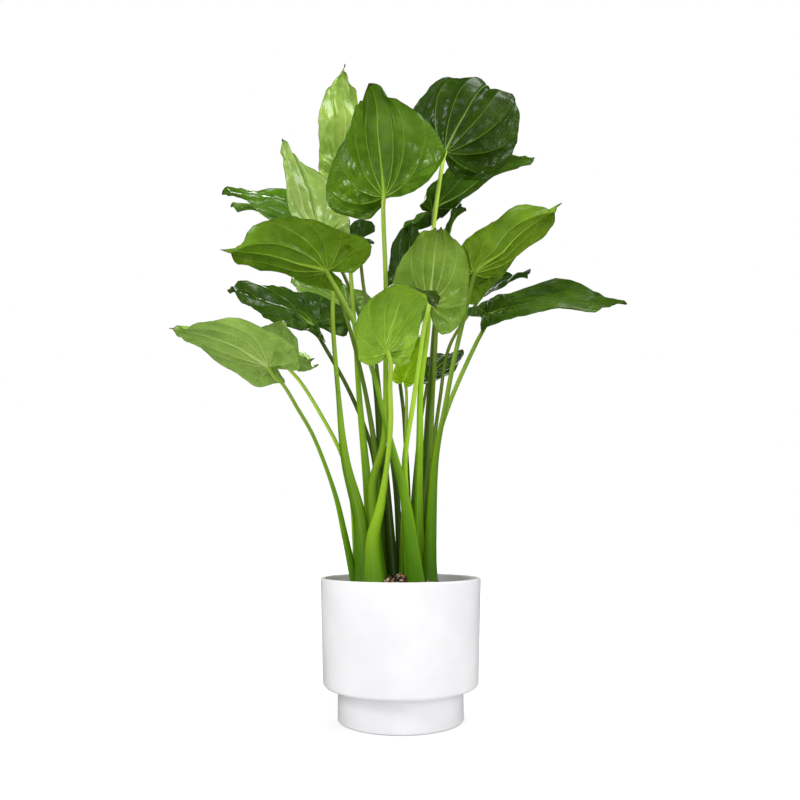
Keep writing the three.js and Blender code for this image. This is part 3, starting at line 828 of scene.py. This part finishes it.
def markRibs(mesh, veins, rings, length):
    # the edges of the underside that carry ribs, and how thick the ribs are there
    lines = len(veins)
    count = 1 + rings * lines
    radius = np.zeros(2 * count)
    line = np.full(2 * count, -1)
    ring = np.zeros(2 * count, int)
    line[count] = -2  # the junction, where every rib starts
    radius[count] = leafRibs["top"]
    steps = np.arange(1, rings + 1)
    for k, vein in enumerate(veins):
        if vein < 0:
            continue
        at = count + 1 + (steps - 1) * lines + k
        last = rings * (1 if vein == 0 else leafRibs["end"])
        line[at] = k
        ring[at] = np.where(steps < last, steps, 10 * rings)
        radius[at] = ribRadii(vein, steps / rings)
    setAttribute(mesh, "ribRadius", "FLOAT", "POINT", radius * min(1.0, length / leafRibs["full"]))
    ends = np.zeros(2 * len(mesh.edges), np.int32)
    mesh.edges.foreach_get("vertices", ends)
    a, b = ends.reshape(-1, 2).T
    same = (line[a] == line[b]) & (line[a] >= 0)
    innermost = (np.minimum(line[a], line[b]) == -2) & (np.maximum(line[a], line[b]) >= 0)
    onRib = (same | innermost) & (np.maximum(ring[a], ring[b]) < rings - 1)
    setAttribute(mesh, "ribEdge", "BOOLEAN", "EDGE", onRib)


def bladeMesh(row, index):
    # the two sides of the blade and the rim between them, with what the materials read
    leaf, flat, share, between, middle, veins, rings = bladeSheet(row, index)
    lines = len(veins)
    net = netFaces(rings, lines)
    offset = vertexNormals(middle, net) * (leafShape["thickness"] / 2)
    count = len(middle)
    edge = count - lines
    under = [tuple(corner + count for corner in reversed(face)) for face in net]
    rim = [(here, here + count, after + count, after)
           for here, after in ((edge + k, edge + (k + 1) % lines) for k in range(lines))]
    mesh = bpy.data.meshes.new("blade")
    mesh.from_pydata(np.concatenate([middle + offset, middle - offset]).tolist(), [], net + under + rim)
    along = np.clip(flat[:, 0] / leaf["length"], 0, 1)
    detail = np.column_stack([share, along, np.zeros(count)])
    vein = veinPlaces(middle, flat, between, veins, rings, leaf["length"])
    # the tint with its painted light, and a darker upper side on the curled tips
    below = np.tile(leafTintAndLights.get(index + 1, (1.0, 1.0, 1.0)), (count, 1))
    above = below * upperShades.get(index + 1, 1.0)
    setAttribute(mesh, "leafVein", "FLOAT_VECTOR", "POINT", np.tile(vein, (2, 1)))
    setAttribute(mesh, "leafDetail", "FLOAT_VECTOR", "POINT", np.tile(detail, (2, 1)))
    setAttribute(mesh, "leafTintAndLight", "FLOAT_VECTOR", "POINT", np.concatenate([above, below]))
    setAttribute(mesh, "leafFace", "INT", "FACE", [0] * len(net) + [1] * (len(under) + len(rim)))
    setAttribute(mesh, "sharp_face", "BOOLEAN", "FACE", [False] * (2 * len(net)) + [True] * len(rim))
    markRibs(mesh, veins, rings, leaf["length"])
    return mesh


# Geometry tree of a leaf: ribs of round section run along the marked edges of the underside

def makeLeafTree():
    tree, given, out = newTree(
        "leafRibs", "GeometryNodeTree",
        {"Blade": "Geometry", "Rib Size": 1.0, "Rib Sides": 6, "Upper": "Material",
         "Under": "Material", "Rib": "Material"},
        {"Leaf": "Geometry"})
    marked = {"Mesh": given["Blade"], "Selection": readBack(tree, "ribEdge", "BOOLEAN")}
    lines = valueOf(tree, "GeometryNodeMeshToCurve", marked)
    size = readBack(tree, "ribRadius") * given["Rib Size"]
    ribs = smoothed(swept(lines, ringOf(given["Rib Sides"]), size, True))
    whole = realized(stored(ribs, "leafFace", 2, "INT", "FACE"), given["Blade"])
    face = readBack(tree, "leafFace", "INT")
    for number, name in enumerate(("Upper", "Under", "Rib")):
        inputs = {2: face, 3: number}
        where = valueOf(tree, "FunctionNodeCompare", inputs, data_type="INT", operation="EQUAL")
        whole = painted(whole, given[name], where)
    feed(out, {"Leaf": whole})
    return tree


leafTree = makeLeafTree()


def makeLeaf(row, index):
    number = f"{index + 1:02d}"
    holder = newObject("leafHolder", bladeMesh(row, index))
    materials = leafMaterials[row["tone"]]
    makePiece(f"leaf_{number}", f"leaf_{row['tone']}", f"leaf_blade_{number}", holder, leafTree, materials)


for index, row in enumerate(leafRows):
    makeLeaf(row, index)
print("leaves made:", len(leafRows))


# Stalks: a tree sweeps a section with a sheath's lip along each stalk's route

stalkShape = {
    "topWidth": 0.007,
    "slim": 0.4,  # a stalk is no wider at the top than this share of its sheath
    "taper": 0.002,
    "reach": 0.55,  # the share of the stalk that the sheath takes
    "power": 1.4,
    "depth": 0.72,  # how flat the sheath is
    "lip": 0.06,  # how far its free edge stands out
    "lipPower": 3.0,
    "neck": 0.016,  # the last stretch below the blade, which is straight
    "arrival": 30,  # least angle to the blade, in degrees
    "overlap": 0.0001,  # how far the end goes into the blade
    "foot": 0.174,  # height of the base, below the soil's surface
    "sides": 22,
    "stations": 64,
    "flute": 0.012,  # depth and number of the grooves along it
    "flutes": 7,
    "seamTurn": 0.9,  # from one stalk's seam to the next one's
}
stalkShadingAndTone = {  # painted shade on the stalks at the back of the clump, and lighter front ones partly painted light, by number
    1: 1.45, 2: 0.9, 3: 1.5, 4: 1.05, 5: 1.15, 6: 0.45, 7: 0.45, 8: 0.4, 9: 1.15, 10: 1.4, 11: 0.95,
    12: 0.5, 13: 1.25, 14: 0.55, 15: 0.4, 16: 0.4, 17: 0.35, 19: 0.4, 20: 1.2, 21: 1.3, 22: 0.5,
}
stalkLook = {  # two numbers are a ramp: from here to there
    "sheath": "#4c7802",
    "middle": "#7aa00a",
    "middlePart": (0.02, 0.4),
    "top": "#a8c048",
    "topPart": (0.35, 0.95),
    "blotch": "#4c860c",
    "blotches": 0.35,
    # painted shade on one side of each stalk and painted light on the other
    "paintedShadeSide": "#2f6602",
    "paintedShade": 0.5,
    "paintedLightSide": "#a0c832",
    "paintedLight": (0.08, 0.5),  # painted light, low down and further up
    "streak": "#8cb828",
    "streaks": 0.2,
    "streakScale": (5.0, 6.0),  # round the stalk and along it
    "lip": "#c9cf8f",
    "lipShare": 0.1,
    "base": "#8aa838",
    "baseShare": 0.3,
    "roughness": (0.28, 0.38),
    "shine": 0.25,
    "reliefStrength": 0.35,
    "relief": 0.0005,
}


def stalkMaterial(look):
    material, tree, surface = newMaterial("stalkSkin")
    along = attributeOf(tree, "stalkAlong", "Fac")
    across, facing, _ = partsOf(attributeOf(tree, "stalkTurn"))
    growth = useGroup(tree, mottleGroup, {"Place": objectCoordinates(tree), "Scale": 9.0})
    roundScale, alongScale = look["streakScale"]
    streak = noise(vectorFrom(calc("ARCTAN2", facing, across) * roundScale, along * alongScale), 2.0)
    # painted light on one side of the stalk and painted shade on the other, turning with the seam from one
    # stalk to the next
    paintedLight = ramp(facing, 0.3, 1.0) * ramp(along, 0.1, 0.5, *look["paintedLight"])
    lip = ramp(across, 0.985, 1.0) * ramp(along, 0.5, 0.35)
    colour = mixColour(ramp(along, *look["middlePart"]), look["sheath"], look["middle"])
    for share, tone in (
            (ramp(along, *look["topPart"]), "top"),
            (growth["Blotches"] * look["blotches"], "blotch"),
            (ramp(facing, 0.1, -0.9, 0.0, look["paintedShade"]), "paintedShadeSide"),
            (paintedLight, "paintedLightSide"),
            (ramp(streak, 0.45, 0.75, 0.0, look["streaks"]), "streak"),
            (lip * look["lipShare"], "lip"),
            (ramp(along, 0.06, 0.0) * look["baseShare"], "base")):
        colour = mixColour(share, colour, look[tone])
    # painted shade and light for each stalk, over its tone
    shade = attributeOf(tree, "stalkShade", "Fac")
    feed(surface, {
        "Base Color": vectorCalc("MULTIPLY", colour, vectorFrom(shade, shade, shade)),
        "Roughness": ramp(growth["Grain"], 0.3, 0.7, *look["roughness"]),
        "Specular IOR Level": look["shine"],
        "Normal": bump(streak, look["reliefStrength"], look["relief"])})
    return material


def makeStalkTree(shape):
    tree, given, out = newTree(
        "stalkSweep", "GeometryNodeTree",
        {"Route": "Object", "Top Width": shape["topWidth"], "Taper": shape["taper"],
         "Sheath Width": 0.02, "Sheath Reach": shape["reach"], "Sheath Power": shape["power"],
         "Sheath Depth": shape["depth"], "Lip": shape["lip"], "Lip Power": shape["lipPower"],
         "Flute": shape["flute"], "Sides": shape["sides"], "Stations": shape["stations"],
         "Seam Turn": 0.0, "Seat": "Vector", "Blade Up": "Vector", "Arrival": "Vector",
         "Shade": 1.0, "Skin": "Material"},
        {"Stalk": "Geometry"})

    def sheathSwell(share):
        # 1 at the base, down to 0 where the sheath ends
        left = calc("MAXIMUM", 1.0 - share / given["Sheath Reach"], 0.0)
        return left ** given["Sheath Power"]

    # the route, marked with the share of its length and its own place
    route = valueOf(tree, "GeometryNodeObjectInfo", {"Object": given["Route"]}, "Geometry")
    path = valueOf(tree, "GeometryNodeResampleCurve", {"Curve": route, "Count": given["Stations"]})
    path = valueOf(tree, "GeometryNodeSetCurveTilt", {"Curve": path, "Tilt": given["Seam Turn"]})
    share = valueOf(tree, "GeometryNodeSplineParameter")
    place = valueOf(tree, "GeometryNodeInputPosition")
    path = stored(path, "stalkAlong", share)
    path = stored(path, "stalkCentre", place, "FLOAT_VECTOR")
    slim = given["Top Width"] + given["Taper"] * (1.0 - share)
    width = slim + sheathSwell(share) * (given["Sheath Width"] - given["Top Width"])

    # the round section, marked with the way round it
    way = valueOf(tree, "GeometryNodeSplineParameter")
    section = stored(ringOf(given["Sides"]), "stalkRound", way)
    angle = way * (2 * math.pi)
    facing = vectorFrom(calc("COSINE", angle), calc("SINE", angle))
    section = stored(section, "stalkTurn", facing, "FLOAT_VECTOR")
    stalk = swept(path, section, width * 0.5, True)

    # the lip and the grooves stand out from the centre, and the sheath is flattened
    along = readBack(tree, "stalkAlong")
    way = readBack(tree, "stalkRound")
    swell = sheathSwell(along)
    outwards = vectorCalc("SUBTRACT", place, readBack(tree, "stalkCentre", "FLOAT_VECTOR"))
    lip = given["Lip"] * calc("SQRT", swell) * way ** given["Lip Power"]
    groove = given["Flute"] * calc("COSINE", way * (shape["flutes"] * 2 * math.pi))
    stalk = moved(stalk, scaled(outwards, lip + groove))
    flatten = (given["Sheath Depth"] - 1.0) * swell
    stalk = moved(stalk, vectorCalc("MULTIPLY", outwards, vectorFrom(0.0, flatten)))

    # the end slides along the way of arrival until it sits flat under the blade
    toSeat = vectorCalc("SUBTRACT", given["Seat"], place)
    short = (vectorCalc("DOT_PRODUCT", toSeat, given["Blade Up"], out="Value")
             / vectorCalc("DOT_PRODUCT", given["Arrival"], given["Blade Up"], out="Value"))
    isLast = calc("GREATER_THAN", along, 0.999)
    nearTop = calc("GREATER_THAN", along, 0.9)
    slide = isLast * short + (1.0 - isLast) * nearTop * calc("MINIMUM", short, 0.0)
    stalk = moved(stalk, scaled(given["Arrival"], slide))
    stalk = smoothed(stored(stalk, "stalkShade", given["Shade"]))
    feed(out, {"Stalk": painted(realized(stalk), given["Skin"])})
    return tree


def smoothRoute(points, steps):
    # the smooth curve that the solids' stalks follow, as places along it
    points = [np.array(p, float) for p in points]
    padded = [2 * points[0] - points[1], *points, 2 * points[-1] - points[-2]]
    result = []
    for i in range(len(points) - 1):
        p0, p1, p2, p3 = padded[i:i + 4]
        d0, d1, d2 = (np.linalg.norm(b - a) ** 0.5 for a, b in ((p0, p1), (p1, p2), (p2, p3)))
        m1 = ((p1 - p0) / d0 - (p2 - p0) / (d0 + d1) + (p2 - p1) / d1) * d1
        m2 = ((p2 - p1) / d1 - (p3 - p1) / (d1 + d2) + (p3 - p2) / d2) * d1
        for t in np.arange(steps) / steps:
            result.append((2 * p1 - 2 * p2 + m1 + m2) * t ** 3 + (3 * p2 - 3 * p1 - 2 * m1 - m2) * t ** 2
                          + m1 * t + p1)
    return [*result, points[-1]]


def stalkRoute(row):
    # from the base to the seat under the blade, arriving no flatter than the least angle
    leaf = leafFrame(row)
    seat = leaf["junction"] - leaf["up"] * (leafShape["thickness"] / 2 - stalkShape["overlap"])
    arrival = unit(seat - np.array(row["route"][-1]))
    least = math.radians(stalkShape["arrival"])
    if arrival.dot(leaf["up"]) < math.sin(least):
        flat = unit(arrival - arrival.dot(leaf["up"]) * leaf["up"])
        arrival = flat * math.cos(least) + leaf["up"] * math.sin(least)
    base = (*row["base"], stalkShape["foot"])
    neck = seat - arrival * stalkShape["neck"]
    return smoothRoute([base, *row["route"], neck, seat], 16), seat, arrival, leaf["up"]


stalkTree = makeStalkTree(stalkShape)
stalkSkin = stalkMaterial(stalkLook)


def makeStalk(row, index):
    number = f"{index + 1:02d}"
    points, seat, arrival, up = stalkRoute(row)
    curve = newPolyline("stalkRoute", [(*point, 1.0) for point in points])
    holder = newObject("stalkHolder", bpy.data.meshes.new("stalkHolder"))
    values = {
        "Route": curve, "Seat": Vector(seat), "Blade Up": Vector(up), "Arrival": Vector(arrival),
        "Top Width": min(stalkShape["topWidth"], stalkShape["slim"] * row["sheath"]),
        "Sheath Width": row["sheath"], "Seam Turn": stalkShape["seamTurn"] * index,
        "Shade": stalkShadingAndTone.get(index + 1, 1.0), "Skin": stalkSkin}
    makePiece(f"stalk_{number}", "stalk", f"petiole_{number}", holder, stalkTree, values, curve)


for index, row in enumerate(leafRows):
    makeStalk(row, index)
print("stalks made:", len(leafRows))


# Planter: a profile of corners with fillets, swept round the axis

_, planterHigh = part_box("planter")
planterShape = {
    "rimRadius": planterHigh.x,
    "height": planterHigh.z,
    "bodyBottomRadius": 0.1175,
    "footRadius": 0.095,
    "footHeight": 0.049,
    "wall": 0.007,
    "floor": 0.009,
    "lip": 0.003,  # roundings of the rim and of the other edges
    "bodyEdge": 0.006,
    "footEdge": 0.003,
    "stepEdge": 0.001,
    "insideEdge": 0.002,
    "sides": 160,
    "filletSteps": 5,
    "merge": 0.00002,  # closes the two ends at the axis
}
glazeLook = {
    "tone": "#f1f1f3",
    "paleTone": "#f8f8fa",
    "pinTone": "#c9c9c6",  # fine pinholes
    "pins": 0.35,
    "coat": 0.25,
    "coatRoughness": 0.2,
    "relief": 0.0006,
}


def glazeMaterial(look):
    material, tree, surface = newMaterial("planterGlaze")
    place = objectCoordinates(tree)
    cloud = noise(place, 9.0)
    speck = noise(place, 900.0, 2.0)
    colour = mixColour(ramp(cloud, 0.35, 0.65), look["tone"], look["paleTone"])
    feed(surface, {
        "Base Color": mixColour(ramp(speck, 0.2, 0.12, 0.0, look["pins"]), colour, look["pinTone"]),
        "Roughness": ramp(cloud, 0.35, 0.65, 0.3, 0.38),
        "Coat Weight": look["coat"],
        "Coat Roughness": look["coatRoughness"],
        "Normal": bump(noise(place, 60.0) + speck * 0.3, 0.12, look["relief"])})
    return material


def makeLatheTree(shape):
    # the path is a circle of a metre, so the profile is drawn a metre inwards
    tree, given, out = newTree(
        "latheTurn", "GeometryNodeTree",
        {"Profile": "Object", "Sides": shape["sides"], "Fillet Steps": shape["filletSteps"],
         "Merge": shape["merge"], "Skin": "Material"},
        {"Turned": "Geometry"})
    profile = valueOf(tree, "GeometryNodeObjectInfo", {"Object": given["Profile"]}, "Geometry")
    inputs = {"Curve": profile, "Count": given["Fillet Steps"],
              "Radius": valueOf(tree, "GeometryNodeInputRadius")}
    filleted = valueOf(tree, "GeometryNodeFilletCurve", inputs, mode="POLY")
    turned = swept(ringOf(given["Sides"]), filleted, 1.0, False)
    inputs = {"Geometry": turned, "Distance": given["Merge"]}
    closed = valueOf(tree, "GeometryNodeMergeByDistance", inputs)
    feed(out, {"Turned": painted(realized(smoothed(closed)), given["Skin"])})
    return tree


def planterProfile(shape):
    # corners as (radius, height, fillet), up the outside and back down the inside
    foot, body, rim = shape["footRadius"], shape["bodyBottomRadius"], shape["rimRadius"]
    wall, edge = shape["wall"], shape["insideEdge"]
    shelf = shape["footHeight"] + shape["floor"]
    return [
        (0, 0, 0),
        (foot, 0, shape["footEdge"]),
        (foot, shape["footHeight"], shape["stepEdge"]),
        (body, shape["footHeight"], shape["bodyEdge"]),
        (rim, shape["height"], shape["lip"]),
        (rim - wall, shape["height"], shape["lip"]),
        (body - wall, shelf, edge),
        (foot - wall, shelf, edge),
        (foot - wall, shape["floor"], edge),
        (0, shape["floor"], 0),
    ]


def makePlanter(shape):
    corners = [(radius - 1.0, -height, 0, fillet) for radius, height, fillet in planterProfile(shape)]
    profile = newPolyline("planterProfile", corners)
    holder = newObject("planterHolder", bpy.data.meshes.new("planterHolder"))
    tree = makeLatheTree(shape)
    values = {"Profile": profile, "Skin": glazeMaterial(glazeLook)}
    makePiece("planter_glazed", "planter_glaze", "planter", holder, tree, values, profile)


makePlanter(planterShape)
print("planter made")


# Potting mix: a lumpy mound with bark chips and clay crumbs strewn over it by a tree

soilShape = {
    "clearance": 0.0003,  # from the planter's inside
    "edgeLevel": 0.184,
    "moundRise": 0.027,
    "moundPower": 1.1,
    "lump": 0.0016,
    "lumpWaves": 14,
    "lumpPitch": 260,
    "rings": 36,
    "sides": 120,
    "seed": 7,
}
chipShape = {
    "kinds": 5,
    "density": 52000.0,  # chips on a square metre
    "smallest": 0.003,
    "largest": 0.0085,
    "sizePower": 2.0,  # most chips are small
    "lean": 0.9,  # how far a chip may lean, in radians
    "seed": 3,
    "toneSeed": 11,
}
chipTones = (  # from black bark to tan and pale clay, with orange bits
    (0.0, "#140e0a"), (0.22, "#3a2416"), (0.4, "#8a6240"), (0.55, "#caa274"), (0.68, "#d07434"),
    (0.78, "#ecd8bc"), (1.0, "#fff8ee"),
)


def soilMaterial():
    material, tree, surface = newMaterial("pottingMix")
    place = objectCoordinates(tree)
    crumbs = noise(place, 300.0, 4.0, 0.7)
    clods = noise(place, 60.0, 4.0)
    colour = mixColour(ramp(crumbs, 0.35, 0.7), "#1e120a", "#4c2f1b")
    feed(surface, {
        "Base Color": mixColour(ramp(clods, 0.45, 0.65, 0.0, 0.5), colour, "#6a4326"),
        "Roughness": ramp(crumbs, 0.3, 0.7, 0.85, 1.0),
        "Normal": bump(crumbs + clods, 0.9, 0.0015)})
    return material


def chipMaterial():
    # each chip has a tone of its own, under a grain along its height
    material, tree, surface = newMaterial("barkChip")
    grain = noise(vectorCalc("MULTIPLY", objectCoordinates(tree), (1.0, 1.0, 5.0)), 350.0, 3.0)
    bands = addNode(tree, "ShaderNodeValToRGB", {"Fac": attributeOf(tree, "chipTone", "Fac")})
    stops = bands.color_ramp.elements
    while len(stops) < len(chipTones):
        stops.new(1.0)
    for stop, (place, tone) in zip(stops, chipTones):
        stop.position = place
        stop.color = linear(tone)
    tone = nodeValue(bands.outputs["Color"])
    feed(surface, {
        "Base Color": mixColour(ramp(grain, 0.35, 0.7, 0.0, 0.55), tone, "#2a180d"),
        "Roughness": ramp(grain, 0.3, 0.7, 0.75, 0.95),
        "Normal": bump(grain, 0.8, 0.0008)})
    return material


def soilMesh(shape):
    # rings from the top of the mound to its edge, then down inside the planter to its floor
    wall, floor, gap = planterShape["wall"], planterShape["floor"], shape["clearance"]
    mouth = planterShape["rimRadius"] - wall - gap
    shelf = planterShape["bodyBottomRadius"] - wall - gap
    foot = planterShape["footRadius"] - wall - gap
    shelfHeight = planterShape["footHeight"] + floor + gap
    deep = planterShape["height"] - planterShape["lip"] - shelfHeight
    edge = shelf + (mouth - shelf) * ((shape["edgeLevel"] - shelfHeight) / deep)
    random = np.random.default_rng(shape["seed"])
    waves = random.uniform(-1, 1, (shape["lumpWaves"], 2)) * shape["lumpPitch"]
    shifts = random.uniform(0, 2 * np.pi, shape["lumpWaves"])
    sides = shape["sides"]
    turn = np.arange(sides) * 2 * np.pi / sides
    rows = []
    for ring in range(1, shape["rings"] + 1):
        part = ring / shape["rings"]
        x, y = edge * part * np.cos(turn), edge * part * np.sin(turn)
        lumps = sum(np.sin(a * x + b * y + c) for (a, b), c in zip(waves, shifts)) / 4
        rise = shape["moundRise"] * (1 - part ** shape["moundPower"])
        rows.append(np.column_stack([x, y, shape["edgeLevel"] + rise + shape["lump"] * lumps]))
    for radius, height in ((shelf, shelfHeight), (foot, shelfHeight), (foot, floor + gap)):
        rows.append(np.column_stack([radius * np.cos(turn), radius * np.sin(turn), np.full(sides, height)]))
    summit = [[0, 0, shape["edgeLevel"] + shape["moundRise"]]]
    points = np.concatenate([summit, *rows, [[0, 0, floor + gap]]])
    faces = netFaces(len(rows), sides)
    last = len(points) - 1
    rim = last - sides
    faces += [(rim + k, last, rim + (k + 1) % sides) for k in range(sides)]
    mesh = bpy.data.meshes.new("soilMound")
    mesh.from_pydata(points.tolist(), [], faces)
    top = sides * (shape["rings"] - 1)
    setAttribute(mesh, "isTop", "BOOLEAN", "FACE", [i < top for i in range(len(faces))])
    return mesh


def chipMesh(number):
    # an angular flake: a twenty-sided lump, jittered and flattened
    random = np.random.default_rng(chipShape["seed"] + number)
    form = bmesh.new()
    bmesh.ops.create_icosphere(form, subdivisions=1, radius=0.5)
    flat = Vector((1.0, random.uniform(0.45, 0.75), random.uniform(0.25, 0.5)))
    for corner in form.verts:
        corner.co = corner.co * flat * random.uniform(0.75, 1.25)
    mesh = bpy.data.meshes.new(f"chip{number}")
    form.to_mesh(mesh)
    form.free()
    return mesh


def makeChipTree(shape):
    tree, given, out = newTree(
        "chipScatter", "GeometryNodeTree",
        {"Mound": "Geometry", "Chips": "Collection", "Density": shape["density"],
         "Smallest": shape["smallest"], "Largest": shape["largest"], "Size Power": shape["sizePower"],
         "Lean": shape["lean"], "Seed": shape["seed"], "Tone Seed": shape["toneSeed"],
         "Mix": "Material", "Bark": "Material"},
        {"Soil": "Geometry"})
    inputs = {"Mesh": given["Mound"], "Selection": readBack(tree, "isTop", "BOOLEAN"),
              "Density": given["Density"], "Seed": given["Seed"]}
    spots = valueOf(tree, "GeometryNodeDistributePointsOnFaces", inputs, distribute_method="RANDOM")
    inputs = {"Collection": given["Chips"], "Separate Children": True, "Reset Children": True}
    chips = valueOf(tree, "GeometryNodeCollectionInfo", inputs)
    inputs = {0: vectorFrom(given["Lean"] * -1.0, given["Lean"] * -1.0),
              1: vectorFrom(given["Lean"], given["Lean"], 2 * math.pi), "Seed": given["Seed"]}
    turn = valueOf(tree, "FunctionNodeRandomValue", inputs, data_type="FLOAT_VECTOR")

    def randomShare(seed):
        inputs = {2: 0.0, 3: 1.0, "Seed": seed}
        return valueOf(tree, "FunctionNodeRandomValue", inputs, 1, data_type="FLOAT")

    spread = given["Largest"] - given["Smallest"]
    size = given["Smallest"] + randomShare(given["Seed"]) ** given["Size Power"] * spread
    inputs = {"Points": spots, "Instance": chips, "Pick Instance": True, "Rotation": turn, "Scale": size}
    strewn = valueOf(tree, "GeometryNodeInstanceOnPoints", inputs)
    strewn = stored(strewn, "chipTone", randomShare(given["Tone Seed"]), domain="INSTANCE")
    strewn = stored(strewn, "isChip", True, "BOOLEAN", "INSTANCE")
    soil = painted(realized(strewn, given["Mound"]), given["Mix"])
    feed(out, {"Soil": painted(soil, given["Bark"], readBack(tree, "isChip", "BOOLEAN"))})
    return tree


def makeSoil(mound, shape):
    kinds = bpy.data.collections.new("chipKinds")
    chips = [bpy.data.objects.new(f"chip{i}", chipMesh(i)) for i in range(shape["kinds"])]
    for chip in chips:
        kinds.objects.link(chip)
    holder = newObject("soilHolder", soilMesh(mound))
    values = {"Chips": kinds, "Mix": soilMaterial(), "Bark": chipMaterial()}
    makePiece("potting_mix", "potting_mix", "soil", holder, makeChipTree(shape), values, *chips)
    bpy.data.collections.remove(kinds)


makeSoil(soilShape, chipShape)
print("potting mix made")


# Studio: pale floor, white surroundings and soft lamps

studio = {
    "floorSize": 60.0,
    "floorTone": "#dcdcdc",
    "floorMirrored": "#404040",
    "floorRoughness": 0.8,
    "glow": (0.3, 2.5, 0.35, 1.0),  # near and far, and the glow there, which only the camera sees
    "surround": 0.5,
    "mirrored": 0.04,  # what gloss reflects of the surroundings
}
lamps = {  # the place, the point aimed at, the size, the power and the share that gloss shows
    "key": ((-1.7, -1.6, 2.1), (0, 0, 0.7), 1.1, 35, 1.0),
    "fill": ((1.9, -1.3, 1.4), (0, 0, 0.6), 1.0, 12, 0.4),
    "front": ((0.1, -2.6, 0.9), (0, 0, 0.15), 0.9, 12, 0.4),
    "top": ((1.1, -0.3, 2.5), (0, 0, 0.8), 1.2, 22, 0.8),
    "back": ((-0.4, 1.8, 2.0), (0, 0, 0.7), 1.0, 16, 0.2),
}


def makeFloor(setup):
    mesh = bpy.data.meshes.new("studio_floor")
    half = setup["floorSize"] / 2
    corners = [(-half, -half, 0), (half, -half, 0), (half, half, 0), (-half, half, 0)]
    mesh.from_pydata(corners, [], [(0, 1, 2, 3)])
    material, tree, surface = newMaterial("studioFloor")
    isMirrored = valueOf(tree, "ShaderNodeLightPath", out="Is Glossy Ray")
    isSeen = valueOf(tree, "ShaderNodeLightPath", out="Is Camera Ray")
    far = vectorCalc("LENGTH", objectCoordinates(tree), out="Value")
    feed(surface, {
        "Base Color": mixColour(isMirrored, setup["floorTone"], setup["floorMirrored"]),
        "Roughness": setup["floorRoughness"],
        "Emission Color": "#ffffff",
        "Emission Strength": isSeen * ramp(far, *setup["glow"])})
    mesh.materials.append(material)
    newObject("studio_floor", mesh)


def makeLamp(name, place, aim, size, power, gloss):
    data = bpy.data.lights.new(name, "AREA")
    data.shape = "DISK"
    data.size = size
    data.energy = power
    data.specular_factor = gloss
    light = newObject(name, data)
    light.location = place
    light.rotation_euler = (Vector(aim) - Vector(place)).to_track_quat("-Z", "Y").to_euler()


def makeSurround(setup):
    # the camera sees white, gloss sees little and all other light comes from a soft grey
    world = bpy.data.worlds.new("surround")
    scene.world = world
    world.use_nodes = True
    tree = world.node_tree
    feed(tree.nodes["Background"], {"Color": "#ffffff", "Strength": setup["surround"]})
    shown = nodeValue(tree.nodes["Background"].outputs[0])
    for ray, strength in (("Is Glossy Ray", setup["mirrored"]), ("Is Camera Ray", 1.0)):
        other = valueOf(tree, "ShaderNodeBackground", {"Color": "#ffffff", "Strength": strength})
        inputs = {0: valueOf(tree, "ShaderNodeLightPath", out=ray), 1: shown, 2: other}
        shown = valueOf(tree, "ShaderNodeMixShader", inputs)
    feed(tree.nodes["World Output"], {"Surface": shown})


makeFloor(studio)
for name, lamp in lamps.items():
    makeLamp(name, *lamp)
makeSurround(studio)
scene.view_settings.view_transform = "Standard"
print("studio made")
